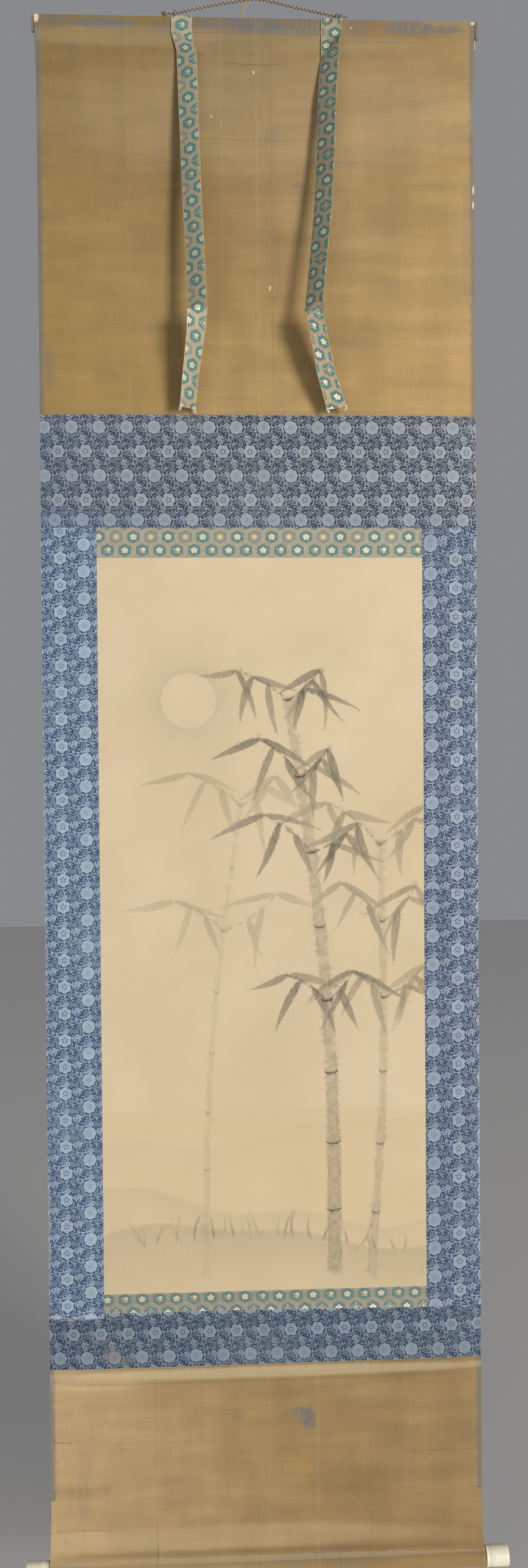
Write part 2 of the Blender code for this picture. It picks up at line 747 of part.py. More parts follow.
def make_tuft(name, place, across, down, material):
    """A bound head with six loose threads drawn out of its lower face."""
    depth = across.cross(down).normalized()
    bm = bmesh.new()
    half = 0.5 * TUFT_HEAD
    columns, layers = 3, 2
    upper, lower = {}, {}
    for i in range(columns + 1):
        for j in range(layers + 1):
            offset = across * (half * (2 * i / columns - 1)) + depth * (half * (2 * j / layers - 1))
            upper[i, j] = bm.verts.new(place + offset)
            foot = place + offset * TUFT_HEAD_GROWS + down * TUFT_HEAD_DROP
            lower[i, j] = bm.verts.new(foot)
    threads = []
    for i in range(columns):
        for j in range(layers):
            ring = ((i, j), (i + 1, j), (i + 1, j + 1), (i, j + 1))
            bm.faces.new([upper[k] for k in ring])
            threads.append((i, j, bm.faces.new([lower[k] for k in ring])))
    rim = [(i, 0) for i in range(columns)] + [(columns, j) for j in range(layers)]
    rim += [(i, layers) for i in range(columns, 0, -1)] + [(0, j) for j in range(layers, 0, -1)]
    for a, b in zip(rim, rim[1:] + rim[:1]):
        bm.faces.new((upper[a], upper[b], lower[b], lower[a]))
    for i, j, face in threads:
        spread = (across * (i - 1) + depth * (j - 0.5)) * THREAD_SPREAD
        bmesh.ops.inset_individual(bm, faces=[face], thickness=THREAD_INSET)
        for reach, scale in THREAD_LENGTHS:
            made = bmesh.ops.extrude_discrete_faces(bm, faces=[face])
            face = made["faces"][0]
            middle = face.calc_center_median()
            shift = down * (TUFT_LENGTH * reach) + spread * (1.0 + 0.5 * reach)
            for vertex in face.verts:
                vertex.co = middle + (vertex.co - middle) * scale + shift
    add_object(name, finish_mesh(bm, name, 60.0), material)


def hang_on_hook():
    """Bring the cords' plane to the hook, with every piece under one parent."""
    scroll = bpy.data.objects.new("scroll", None)
    scroll.location.y = -CORD_Y
    pieces = list(bpy.context.scene.objects)
    bpy.context.scene.collection.objects.link(scroll)
    for piece in pieces:
        piece.parent = scroll


def make_finishes():
    return {
        "brown_silk": make_material("brown_silk", (0.35, 0.23, 0.10), 0.70),
        "navy_damask": make_material("navy_damask", (0.10, 0.14, 0.27), 0.60),
        "blue_damask": make_material("blue_damask", (0.16, 0.25, 0.44), 0.60),
        "hexagon_brocade": make_material("hexagon_brocade", (0.16, 0.33, 0.34), 0.50),
        "painting_paper": make_material("painting_paper", (0.66, 0.56, 0.38), 0.80),
        "plain_wood": make_material("plain_wood", (0.55, 0.42, 0.26), 0.60),
        "ivory_white": make_material("ivory_white", (0.75, 0.70, 0.55), 0.35),
        "eyelet_metal": make_material("eyelet_metal", (0.62, 0.58, 0.48), 0.30, 1.0),
        "two_colour_braid": make_material("two_colour_braid", (0.36, 0.30, 0.22), 0.75),
        "pale_flat_braid": make_material("pale_flat_braid", (0.42, 0.38, 0.30), 0.75),
        "white_thread": make_material("white_thread", (0.72, 0.68, 0.58), 0.80),
    }


def main():
    clear_scene()
    finishes = make_finishes()
    make_stave(finishes["plain_wood"])
    make_stave_covers(finishes["brown_silk"])
    make_top_panel(finishes["brown_silk"])
    make_borders(finishes)
    make_lower_panel(finishes["brown_silk"])
    make_roller(finishes["plain_wood"], finishes["ivory_white"])
    make_eyelets(finishes["eyelet_metal"])
    make_hanging_cord(finishes["two_colour_braid"])
    make_knots(finishes["two_colour_braid"])
    make_winding_cord(finishes["pale_flat_braid"])
    make_streamers(finishes["hexagon_brocade"], finishes["white_thread"])
    hang_on_hook()


main()
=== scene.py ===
# %% [markdown]
# # A hanging scroll painting
# This lesson dresses the plain solids of a hanging scroll until they look like the real thing.
# A scroll of this kind is almost all cloth and paper: brown silk at the top and bottom, blue
# damask round the picture, two narrow strips of brocade and one sheet of painted paper. Wood is
# only found in the thin stave above and in the roller below.
# The solids give every piece its place. Everything that the eye enjoys is made here.

import math

import bmesh
import bpy
import numpy as np
from mathutils import Matrix, Vector
from mathutils.geometry import delaunay_2d_cdt


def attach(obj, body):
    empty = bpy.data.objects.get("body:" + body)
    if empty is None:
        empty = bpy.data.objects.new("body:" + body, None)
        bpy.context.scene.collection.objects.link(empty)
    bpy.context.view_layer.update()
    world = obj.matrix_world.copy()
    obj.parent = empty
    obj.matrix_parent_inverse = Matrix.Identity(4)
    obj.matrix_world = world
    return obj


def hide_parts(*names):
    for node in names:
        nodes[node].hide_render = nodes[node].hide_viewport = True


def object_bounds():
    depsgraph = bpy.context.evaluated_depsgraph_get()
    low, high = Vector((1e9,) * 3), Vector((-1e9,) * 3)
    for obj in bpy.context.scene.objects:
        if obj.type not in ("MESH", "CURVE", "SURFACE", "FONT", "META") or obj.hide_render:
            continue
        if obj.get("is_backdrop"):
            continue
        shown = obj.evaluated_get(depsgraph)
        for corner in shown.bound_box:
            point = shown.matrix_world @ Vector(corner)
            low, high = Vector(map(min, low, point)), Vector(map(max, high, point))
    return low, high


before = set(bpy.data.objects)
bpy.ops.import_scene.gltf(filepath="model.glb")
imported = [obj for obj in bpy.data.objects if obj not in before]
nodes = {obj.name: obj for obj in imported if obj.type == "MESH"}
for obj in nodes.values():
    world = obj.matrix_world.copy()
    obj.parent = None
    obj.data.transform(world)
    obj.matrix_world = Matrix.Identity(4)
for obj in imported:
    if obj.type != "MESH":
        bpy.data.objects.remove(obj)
solid_box = [list(corner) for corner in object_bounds()]
print(f"{len(nodes)} solids, box {solid_box}")

# %% Driving sizes
# Metres, the same values as in the source of the solids. Heights run down from the hook.
CLOTH_WIDTH = 0.544
PAPER_LEFT = -0.2035
PAPER_RIGHT = 0.2028
PLANE_Y = -0.0036
SHEET_THICK = 0.0008
SOLID_THICK = 0.0012
SOLID_GAP = 0.0003
STAVE_TOP = -0.025
STAVE_DEPTH = 0.008
STAVE_HEIGHT = 0.019
STAVE_LENGTH = 0.548
TOP_PANEL_END = -0.517
TOP_BAND_END = -0.634
NARROW_STRIP_END = -0.6565
PATCH_END = -0.6748
PAPER_TOP = -0.694
RIGHT_COLUMN_JOIN = -1.111
PAPER_END = -1.614
BROCADE_END = -1.6372
LEFT_COLUMN_END = -1.6432
RIGHT_COLUMN_END = -1.6392
BOTTOM_BAND_END_LEFT = -1.7078
BOTTOM_BAND_END_RIGHT = -1.7057
ROLLER_Y = PLANE_Y - 0.0035
ROLLER_Z = -1.959
ROLLER_RADIUS = 0.0111
POCKET_WIDTH = 0.549

# %% [markdown]
# ## The camera
# The photograph was taken from close by with a wide lens, at half the height of the scroll and
# a little to the left. The camera is set first, because it decides which details count. Its
# three axes come from the turn, the tilt and the roll that make the scroll's corners fall on
# their places in a frame of 867 by 2576 pixels.

# %% Camera
def new_object(name, data):
    """An object of the scene that shows a mesh, a curve, a lens or a lamp."""
    made = bpy.data.objects.new(name, data)
    bpy.context.scene.collection.objects.link(made)
    return made


IMAGE_HEIGHT = 2576
FOCAL_PIXELS = 2000.0
SENSOR_HEIGHT = 36.0
camera_turn, camera_tilt, camera_roll = 0.0445825, -0.01350145, -0.00823348
camera_place = Vector((-0.0660, -1.5262, -0.9560))

ahead = Vector((math.sin(camera_turn) * math.cos(camera_tilt),
                math.cos(camera_turn) * math.cos(camera_tilt), math.sin(camera_tilt)))
level_right = Vector((math.cos(camera_turn), -math.sin(camera_turn), 0.0))
upward = level_right.cross(ahead)
right = level_right * math.cos(camera_roll) + upward * math.sin(camera_roll)
upward = upward * math.cos(camera_roll) - level_right * math.sin(camera_roll)

lens = bpy.data.cameras.new("photo_view")
lens.sensor_fit = "VERTICAL"
lens.sensor_height = SENSOR_HEIGHT
lens.lens = FOCAL_PIXELS / IMAGE_HEIGHT * SENSOR_HEIGHT
camera = new_object("photo_view", lens)
camera.matrix_world = Matrix.Translation(camera_place) @ Matrix(
    (right, upward, -ahead)).transposed().to_4x4()
bpy.context.scene.camera = camera
print(f"lens {lens.lens:.2f} mm")

# %% [markdown]
# ## Formulas as nodes
# Patterns and braids are formulas. A tree of Math nodes is hard to read, so this small class
# lets a formula be written as one line: each sum or product of two wires adds a Math node to
# the tree and hands back its output. It serves shader trees and geometry trees alike.

# %% Wires
class Wire:
    """One number on its way through a node tree."""

    def __init__(self, tree, socket):
        self.tree = tree
        self.socket = socket

    def math(self, operation, *others):
        node = self.tree.nodes.new("ShaderNodeMath")
        node.operation = operation
        for place, value in enumerate((self, *others)):
            join(self.tree, value, node.inputs[place])
        return Wire(self.tree, node.outputs[0])

    def __add__(self, other):
        return self.math("ADD", other)

    def __sub__(self, other):
        return self.math("SUBTRACT", other)

    def __rsub__(self, other):
        return self.math("MULTIPLY_ADD", -1.0, other)

    def __mul__(self, other):
        return self.math("MULTIPLY", other)

    def __truediv__(self, other):
        return self.math("DIVIDE", other)

    def __lt__(self, other):
        return self.math("LESS_THAN", other)

    def __gt__(self, other):
        return self.math("GREATER_THAN", other)

    __radd__ = __add__
    __rmul__ = __mul__

    def sine(self):
        return self.math("SINE")

    def cosine(self):
        return self.math("COSINE")

    def size(self):
        return self.math("ABSOLUTE")

    def larger(self, other):
        return self.math("MAXIMUM", other)

    def smaller(self, other):
        return self.math("MINIMUM", other)

    def soft_below(self, limit, softness):
        """1 where the wire is under a limit, 0 above it, with a soft edge."""
        node = self.tree.nodes.new("ShaderNodeMapRange")
        node.interpolation_type = "SMOOTHSTEP"
        join(self.tree, self, node.inputs["Value"])
        join(self.tree, limit + softness, node.inputs["From Min"])
        join(self.tree, limit - softness, node.inputs["From Max"])
        return Wire(self.tree, node.outputs["Result"])


def join(tree, value, socket):
    """Join a wire or a socket to a socket, or set it to a plain value."""
    if isinstance(value, Wire):
        tree.links.new(value.socket, socket)
    elif isinstance(value, bpy.types.NodeSocket):
        tree.links.new(value, socket)
    else:
        socket.default_value = value


def add_node(tree, kind, settings=None, **values):
    """Add a node, set what it is, then join or set its inputs by their names."""
    node = tree.nodes.new(kind)
    for key, value in (settings or {}).items():
        setattr(node, key, value)
    for key, value in values.items():
        join(tree, value, node.inputs[key.replace("_", " ")])
    return node


def vector_math(tree, operation, *values):
    node = tree.nodes.new("ShaderNodeVectorMath")
    node.operation = operation
    for place, value in enumerate(values):
        join(tree, value, node.inputs[place])
    return node.outputs["Value" if operation in ("LENGTH", "DOT_PRODUCT") else "Vector"]


def split(tree, vector):
    """How far a place lies to the side and how far up, as two wires."""
    parts = add_node(tree, "ShaderNodeSeparateXYZ", Vector=vector)
    return Wire(tree, parts.outputs["X"]), Wire(tree, parts.outputs["Y"])


def scaled(tree, vector, factor):
    """A move or a colour, times a number."""
    node = add_node(tree, "ShaderNodeVectorMath", {"operation": "SCALE"}, Scale=factor)
    join(tree, vector, node.inputs[0])
    return node.outputs[0]


def piece_map(tree, name="cloth_map"):
    """A piece's own flat map, in metres."""
    return add_node(tree, "ShaderNodeUVMap", {"uv_map": name}).outputs["UV"]


def new_group(name, kind, inputs, outputs):
    """A node group with named sockets. Inputs are rows of name, socket type and value."""
    group = bpy.data.node_groups.new(name, kind)
    for label, socket_type, value in inputs:
        socket = group.interface.new_socket(label, in_out="INPUT", socket_type=socket_type)
        if value is not None:
            socket.default_value = value
    for label, socket_type in outputs:
        group.interface.new_socket(label, in_out="OUTPUT", socket_type=socket_type)
    enter = group.nodes.new("NodeGroupInput")
    leave = group.nodes.new("NodeGroupOutput")
    return group, enter, leave


FLOAT, WHOLE, VECTOR = "NodeSocketFloat", "NodeSocketInt", "NodeSocketVector"
GEOMETRY, MATERIAL = "NodeSocketGeometry", "NodeSocketMaterial"
FULL_TURN = 2.0 * math.pi
print("wires ready")

# %% [markdown]
# ## Colours and plain materials
# Colours are written as a painter reads them from the object, in the 0 to 255 scale of a
# screen. A renderer reckons with light, so each one is turned into linear light first.

# %% Colours
def paint(red, green, blue):
    linear = []
    for value in (red, green, blue):
        share = value / 255.0
        linear.append(share / 12.92 if share <= 0.04045 else ((share + 0.055) / 1.055) ** 2.4)
    return (*linear, 1.0)


def new_material(name, base=None, roughness=0.7, metallic=0.0, sheen=0.0):
    """A material with a Principled shader, whose constant values sit on its own sockets."""
    material = bpy.data.materials.new(name)
    material.use_nodes = True
    tree = material.node_tree
    shader = tree.nodes["Principled BSDF"]
    if base is not None:
        shader.inputs["Base Color"].default_value = base
    shader.inputs["Roughness"].default_value = roughness
    shader.inputs["Metallic"].default_value = metallic
    shader.inputs["Sheen Weight"].default_value = sheen
    return material, tree, shader


# A Mix node has sockets for numbers, vectors and colours, and these are the colour ones
COLOR_A, COLOR_B, COLOR_RESULT = 6, 7, 2


def mix_color(tree, factor, first, second):
    node = tree.nodes.new("ShaderNodeMix")
    node.data_type = "RGBA"
    join(tree, factor, node.inputs["Factor"])
    join(tree, first, node.inputs[COLOR_A])
    join(tree, second, node.inputs[COLOR_B])
    return node.outputs[COLOR_RESULT]


def add_bump(tree, shader, height, strength, distance):
    bump = add_node(tree, "ShaderNodeBump", Strength=strength, Distance=distance, Height=height)
    tree.links.new(bump.outputs["Normal"], shader.inputs["Normal"])


def noise(tree, vector, scale, detail=2.0, roughness=0.5, stretch=None):
    """Soft noise, drawn out along the axes for which the stretch is small."""
    if stretch:
        vector = vector_math(tree, "MULTIPLY", vector, stretch)
    node = add_node(tree, "ShaderNodeTexNoise", Vector=vector, Scale=scale, Detail=detail,
                    Roughness=roughness)
    return Wire(tree, node.outputs["Fac"])


print("linear cream", [round(value, 3) for value in paint(222, 205, 165)])

# %% [markdown]
# ## The braided cords
# The hanging cord is a round braid of four strands, two light ones that wind one way and
# two dark ones that wind the other way, each going over and under the strands it meets. The
# winding cord is a flat braid, whose strands swing from side to side. Both are one formula:
# a strand's distance to the side and to the front are sine waves along the cord. So one tree
# of Geometry Nodes makes both: it copies the cord's route once for each strand, moves each
# copy by the formula, and sweeps a small circle along it.

# %% A strand's yarn
def yarn_material(name, light, dark, turns):
    """Thread with fine plies that wind round it, on the strand's own map."""
    material, tree, shader = new_material(name, roughness=0.75, sheen=0.15)
    uv = piece_map(tree, "strand_map")
    along, around = split(tree, uv)
    plies = ((along * turns + around * 3.0) * FULL_TURN).sine() * 0.5 + 0.5
    worn = noise(tree, uv, 260.0) * 0.5
    # Painted shade: dark in the grooves between the plies and light on their crowns, on the same
    # wave as the bump, with a little wear.
    tree.links.new(mix_color(tree, plies * 0.6 + worn, dark, light), shader.inputs["Base Color"])
    add_bump(tree, shader, plies, 0.4, 0.0001)
    return material


light_yarn = yarn_material("light_yarn", paint(196, 182, 150), paint(128, 112, 84), 900.0)
dark_yarn = yarn_material("dark_yarn", paint(96, 70, 46), paint(46, 32, 22), 900.0)
pale_yarn = yarn_material("pale_yarn", paint(168, 164, 146), paint(104, 98, 84), 800.0)
print("three yarns")

# %% The braiding tree
def store(tree, geometry, name, value, data_type="FLOAT", domain="POINT"):
    """Keep a value on some geometry under a name."""
    kinds = {"data_type": data_type, "domain": domain}
    node = add_node(tree, "GeometryNodeStoreNamedAttribute", kinds, Geometry=geometry, Name=name,
                    Value=value)
    return node.outputs["Geometry"]


def stored(tree, name):
    node = add_node(tree, "GeometryNodeInputNamedAttribute", Name=name)
    return Wire(tree, node.outputs["Attribute"])


braid_tree, braid_in, braid_out = new_group(
    "braid", "GeometryNodeTree",
    [
        ("Route", GEOMETRY, None), ("Strands", WHOLE, 8), ("Pitch", FLOAT, 0.01),
        ("Half Width", FLOAT, 0.001), ("Half Depth", FLOAT, 0.001), ("Depth Waves", FLOAT, 1.0),
        ("Depth Start", FLOAT, 0.0), ("Both Ways", FLOAT, 0.0), ("Over And Under", FLOAT, 0.0),
        ("Strand Radius", FLOAT, 0.0005), ("Step", FLOAT, 0.0005), ("Sides", WHOLE, 6),
        ("Even Strands", MATERIAL, None), ("Odd Strands", MATERIAL, None),
    ],
    [("Braid", GEOMETRY)],
)
sizes = {socket.name: Wire(braid_tree, socket) for socket in braid_in.outputs if socket.name}
cut = add_node(braid_tree, "GeometryNodeResampleCurve", {"mode": "LENGTH"},
               Curve=sizes["Route"], Length=sizes["Step"])
copies = add_node(braid_tree, "GeometryNodeDuplicateElements", {"domain": "SPLINE"},
                  Geometry=cut.outputs["Curve"], Amount=sizes["Strands"])
copy_index = Wire(braid_tree, copies.outputs["Duplicate Index"])
hand = 1.0 - copy_index.math("FLOORED_MODULO", 2.0) * 2.0 * sizes["Both Ways"]
along = Wire(braid_tree, add_node(braid_tree, "GeometryNodeSplineParameter").outputs["Length"])
turns = hand * along / sizes["Pitch"] + copy_index / sizes["Strands"]
phase = turns * FULL_TURN
waves = (along / sizes["Pitch"] * sizes["Strands"] * math.pi).cosine()
swell = waves * hand * sizes["Over And Under"] + 1.0
side_step = phase.sine() * sizes["Half Width"] * swell
depth_step = (phase * sizes["Depth Waves"] + sizes["Depth Start"]).sine()
depth_step = depth_step * sizes["Half Depth"] * swell
tangent = add_node(braid_tree, "GeometryNodeInputTangent").outputs["Tangent"]
across = vector_math(braid_tree, "CROSS_PRODUCT", tangent, (0.0, -1.0, 0.0))
across = vector_math(braid_tree, "NORMALIZE", across)
forward = vector_math(braid_tree, "CROSS_PRODUCT", across, tangent)
move = vector_math(braid_tree, "ADD", scaled(braid_tree, across, side_step),
                   scaled(braid_tree, forward, depth_step))
measured = store(braid_tree, copies.outputs["Geometry"], "strand",
                 copy_index.math("FLOORED_MODULO", 2.0))
measured = store(braid_tree, measured, "along", along)
moved = add_node(braid_tree, "GeometryNodeSetPosition", Geometry=measured, Offset=move)
circle = add_node(braid_tree, "GeometryNodeCurvePrimitiveCircle",
                  Resolution=sizes["Sides"], Radius=sizes["Strand Radius"])
turn = Wire(braid_tree, add_node(braid_tree, "GeometryNodeSplineParameter").outputs["Factor"])
ring = store(braid_tree, circle.outputs["Curve"], "around", turn)
swept = add_node(braid_tree, "GeometryNodeCurveToMesh", Curve=moved.outputs["Geometry"],
                 Profile_Curve=ring, Fill_Caps=True)
place = add_node(braid_tree, "ShaderNodeCombineXYZ", X=stored(braid_tree, "along"),
                 Y=stored(braid_tree, "around"))
mapped = store(braid_tree, swept.outputs["Mesh"], "strand_map", place.outputs["Vector"],
               "FLOAT2", "CORNER")
real = add_node(braid_tree, "GeometryNodeRealizeInstances", Geometry=mapped)
first = add_node(braid_tree, "GeometryNodeSetMaterial", Geometry=real.outputs["Geometry"],
                 Material=sizes["Even Strands"])
is_odd = stored(braid_tree, "strand") > 0.5
second = add_node(braid_tree, "GeometryNodeSetMaterial", Geometry=first.outputs["Geometry"],
                  Selection=is_odd, Material=sizes["Odd Strands"])
braid_tree.links.new(second.outputs["Geometry"], braid_out.inputs["Braid"])
print(f"braid tree of {len(braid_tree.nodes)} nodes")


# %% Routes and braids
def smooth_route(points, step):
    """Points of a smooth curve through a route, about a step apart."""
    route = [Vector(point) for point in points]
    route = [route[0] * 2 - route[1]] + route + [route[-1] * 2 - route[-2]]
    fine = []
    for a, b, c, d in zip(route, route[1:], route[2:], route[3:]):
        count = max(1, round((c - b).length / step))
        for i in range(count):
            t = i / count
            even, bend = 2 * b + (c - a) * t, (2 * a - 5 * b + 4 * c - d) * t * t
            fine.append(0.5 * (even + bend + (3 * b - a - 3 * c + d) * t**3))
    return fine + [route[-2]]


def set_inputs(modifier, tree, values):
    """Set a modifier's inputs by the identifiers of their sockets."""
    for item in tree.interface.items_tree:
        if item.in_out == "INPUT" and item.name in values:
            modifier[item.identifier] = values[item.name]


def plain_mesh(maker, name):
    """The result of an object's modifiers as a plain mesh on a new object."""
    bpy.context.view_layer.update()
    graph = bpy.context.evaluated_depsgraph_get()
    mesh = bpy.data.meshes.new_from_object(maker.evaluated_get(graph), depsgraph=graph)
    mesh.name = name
    bpy.data.objects.remove(maker)
    return new_object(name, mesh)


def braid_along(name, routes, values):
    """A braid along each route, all of them in one plain mesh."""
    line = bpy.data.curves.new(name + "_route", "CURVE")
    line.dimensions = "3D"
    for route in routes:
        spline = line.splines.new("POLY")
        spline.points.add(len(route) - 1)
        for point, at in zip(spline.points, route):
            point.co = (*at, 1.0)
    maker = new_object(name + "_route", line)
    modifier = maker.modifiers.new("braid", "NODES")
    modifier.node_group = braid_tree
    set_inputs(modifier, braid_tree, values)
    piece = plain_mesh(maker, name)
    for face in piece.data.polygons:
        face.use_smooth = True
    print(f"{name}: {len(piece.data.polygons)} faces")
    return piece


# %% [markdown]
# ### Hanging cord
# It is tied outside the left eyelet, runs through it, over the hook and down through the
# right eyelet to a hitch. The route repeats the points of the solid, and the apex is the
# origin of the whole model.

# %% Hanging cord
HANG_ROUTE = [
    (-0.1106, -0.0202), (-0.1060, -0.0200), (-0.1005, -0.0196), (-0.0960, -0.0187),
    (-0.0758, -0.0138), (-0.0531, -0.0089), (-0.0300, -0.0044), (-0.0130, -0.0014),
    (-0.0040, -0.0002), (0.0000, 0.0000), (0.0040, -0.0003), (0.0130, -0.0018),
    (0.0300, -0.0052), (0.0454, -0.0087), (0.0758, -0.0149), (0.0960, -0.0189),
    (0.1005, -0.0196), (0.1030, -0.0199),
]
round_braid = {
    "Strands": 4, "Pitch": 0.0098, "Half Width": 0.00090, "Half Depth": 0.00090,
    "Depth Waves": 1.0, "Depth Start": 0.5 * math.pi, "Both Ways": 1.0,
    "Over And Under": 0.18, "Strand Radius": 0.00078, "Step": 0.0005, "Sides": 8,
    "Even Strands": light_yarn, "Odd Strands": dark_yarn,
}
hang_route = smooth_route([(x, 0.0, z) for x, z in HANG_ROUTE], 0.002)
hanging_cord = braid_along("braided_hanging_cord", [hang_route], round_braid)
HANG_CORD_LENGTH = sum((b - a).length for a, b in zip(hang_route, hang_route[1:]))
print(f"hanging cord {HANG_CORD_LENGTH:.3f} m")


# %% Knots at both eyelets
def coil(start, way, radius, turns, reach):
    """A route that winds round the line of the cord, as the turns of a knot do."""
    points = []
    count = int(turns * 14)
    for i in range(count + 1):
        share = i / count
        angle = FULL_TURN * turns * share
        bulge = radius * (0.72 + 0.28 * math.sin(math.pi * share))
        points.append(Vector((start[0] + way * reach * share, bulge * math.cos(angle),
                              start[1] + bulge * math.sin(angle))))
    return points


# The short end that leaves a hitch and droops a little, in steps from where it starts
TAIL_STEPS = [(0.0000, 0.0000), (0.0030, 0.0004), (0.0060, -0.0002), (0.0092, -0.0012)]
knot_braid = dict(round_braid, **{"Half Width": 0.0006, "Half Depth": 0.0006,
                                  "Strand Radius": 0.00056, "Pitch": 0.0070})
left_end, right_end = HANG_ROUTE[0], HANG_ROUTE[-1]
knot_left = braid_along("left_knot", [coil(left_end, -1.0, 0.0022, 2.5, 0.0062)], knot_braid)
knot_right = braid_along("right_hitch", [coil(right_end, 1.0, 0.0019, 1.6, 0.0034)], knot_braid)
tail_x, tail_z = right_end[0] + 0.0026, right_end[1]
tail_route = smooth_route([(tail_x + x, 0.0, tail_z + z) for x, z in TAIL_STEPS], 0.001)
knot_tail = braid_along("right_hitch_tail", [tail_route], knot_braid)

# %% [markdown]
# ### Winding cord
# The flat cord that ties the scroll when it is rolled up hangs straight down behind the cloth.

# %% Winding cord
WIND_ROUTE = [
    (-0.0107, 0.0036, -0.0042), (-0.0122, 0.0037, -0.0062), (-0.0150, 0.0042, -0.0098),
    (-0.0170, 0.0050, -0.0150), (-0.0177, 0.0060, -0.0205), (-0.0178, 0.0074, -0.0250),
    (-0.0178, 0.0094, -0.0280), (-0.0178, 0.0112, -0.0320), (-0.0178, 0.0118, -0.0370),
    (-0.0177, 0.0117, -0.0500), (-0.0172, 0.0108, -0.0900), (-0.0160, 0.0098, -0.2000),
    (-0.0140, 0.0092, -0.4000), (-0.0130, 0.0094, -0.6500), (-0.0145, 0.0098, -0.9000),
    (-0.0165, 0.0100, -1.1900),
]
flat_braid = {
    "Strands": 7, "Pitch": 0.0150, "Half Width": 0.0023, "Half Depth": 0.00040,
    "Depth Waves": 2.0, "Depth Start": 0.0, "Both Ways": 0.0, "Over And Under": 0.0,
    "Strand Radius": 0.00074, "Step": 0.0012, "Sides": 5,
    "Even Strands": pale_yarn, "Odd Strands": pale_yarn,
}
wind_route = smooth_route([(x, y + PLANE_Y, z) for x, y, z in WIND_ROUTE], 0.004)
winding_cord = braid_along("braided_winding_cord", [wind_route], flat_braid)
WIND_CORD_LENGTH = sum((b - a).length for a, b in zip(wind_route, wind_route[1:]))
print(f"winding cord {WIND_CORD_LENGTH:.3f} m")

# %% [markdown]
# ## How the cloth hangs
# A scroll is never flat. The stave and the roller keep it straight, and between them it shows
# long soft folds, a sharp ridge where it was rolled too tightly, and edges that curl back. A
# simulation would lose these, so the relief is a sum of bell curves, one for each fold. The
# first rows repeat the source of the solids, and the finer ripples after them are too small
# for the solids.

# %% Relief
FOLDS = [
    # height, rise to the right, forward, half height, middle, half length
    (-1.6430, 0.0040, 0.0030, 0.0085, 0.00, 0.90),
    (-1.7160, 0.0010, 0.0014, 0.0075, 0.00, 0.90),
    (-1.7520, 0.0060, -0.0012, 0.0160, -0.10, 0.30),
    (-1.8180, -0.0080, 0.0012, 0.0140, 0.16, 0.16),
    (-1.8660, 0.0060, -0.0014, 0.0120, 0.20, 0.14),
    (-1.8620, 0.0050, 0.0013, 0.0150, -0.20, 0.15),
    (-1.8950, 0.0040, -0.0012, 0.0130, -0.18, 0.16),
    (-0.0960, 0.0000, 0.0010, 0.0160, 0.00, 0.16),
    (-0.1810, 0.0020, -0.0012, 0.0120, 0.01, 0.14),
    (-0.3600, 0.0060, 0.0012, 0.0350, 0.12, 0.24),
    (-0.5050, 0.0000, 0.0012, 0.0120, 0.00, 0.90),
    (-0.6400, 0.0000, -0.0010, 0.0160, 0.00, 0.90),
    (-0.9300, 0.0100, 0.0016, 0.0600, -0.08, 0.40),
    (-1.1900, -0.0080, -0.0014, 0.0500, 0.06, 0.40),
    (-1.3840, 0.0000, 0.0009, 0.0120, 0.00, 0.90),
    (-1.5200, 0.0060, -0.0012, 0.0450, 0.05, 0.40),
]
RIPPLES = [
    (-1.7235, 0.0010, -0.0007, 0.0030, 0.00, 0.90),
    (-1.8050, 0.0060, 0.0004, 0.0050, 0.23, 0.05),
    (-1.8300, 0.0090, 0.0005, 0.0055, 0.24, 0.06),
    (-1.8450, 0.0070, -0.0004, 0.0050, -0.24, 0.06),
    (-1.8760, 0.0060, 0.0005, 0.0055, -0.25, 0.05),
    (-0.0810, 0.0000, 0.0004, 0.0020, -0.01, 0.07),
    (-0.1720, 0.0050, -0.0004, 0.0022, 0.00, 0.12),
    (-0.5140, 0.0000, 0.0004, 0.0025, 0.00, 0.90),
    (-1.3870, 0.0000, 0.0003, 0.0012, 0.00, 0.90),
]
EDGE_CURL = 0.0026
EDGE_BAND = 0.055
FADE = 0.035
STAVE_FLARE, STAVE_FLARE_DROP = 0.0018, 0.05
ROLLER_FLARE_RISE = 0.028
ROLLER_LEAVES = 0.032


def smooth_step(share):
    share = np.clip(share, 0.0, 1.0)
    return share * share * (3.0 - 2.0 * share)


def half_width(z):
    """Half the cloth's width, a little wider at the stave and at the roller."""
    stave_flare = STAVE_FLARE * np.minimum(np.exp((z - STAVE_TOP) / STAVE_FLARE_DROP), 1.0)
    roller_flare = 0.5 * (POCKET_WIDTH - CLOTH_WIDTH)
    roller_flare = roller_flare * np.minimum(np.exp((ROLLER_Z - z) / ROLLER_FLARE_RISE), 1.0)
    return 0.5 * CLOTH_WIDTH + stave_flare + roller_flare


def relief(x, z):
    """How far the middle of the cloth lies behind its plane, in every point of a grid."""
    y = np.zeros(np.shape(x))
    for height, rise, forward, spread, middle, reach in FOLDS + RIPPLES:
        along = (z - height - rise * x / CLOTH_WIDTH) / spread
        across = (x - middle) / reach
        y = y - forward * np.exp(-along * along - across * across)
    past = np.maximum((np.abs(x) - 0.5 * CLOTH_WIDTH + EDGE_BAND) / EDGE_BAND, 0.0)
    y = y + EDGE_CURL * past * past
    y = y + 0.00025 * np.sin(61.0 * x + 3.1 * np.sin(17.0 * z)) * np.sin(47.0 * z + 2.0)
    below_stave = smooth_step((STAVE_TOP - 1.3 * STAVE_HEIGHT - z) / FADE)
    return y * below_stave * smooth_step((z - ROLLER_Z - ROLLER_LEAVES) / FADE)


print(f"ridge stands {-1000 * relief(np.array(0.0), np.array(-1.643)):.1f} mm forward")

# %% [markdown]
# ## From surface to sheet
# Each piece of cloth is a grid of middle points with two faces half a thickness to either
# side. The front takes the fabric and the back takes the lining paper, so both are set by
# material index. The map of each piece is laid out in metres, which keeps every weave at its
# real scale.

# %% Sheets
FRONT, BACK = 0, 1
SHARP_FROM = math.radians(50.0)


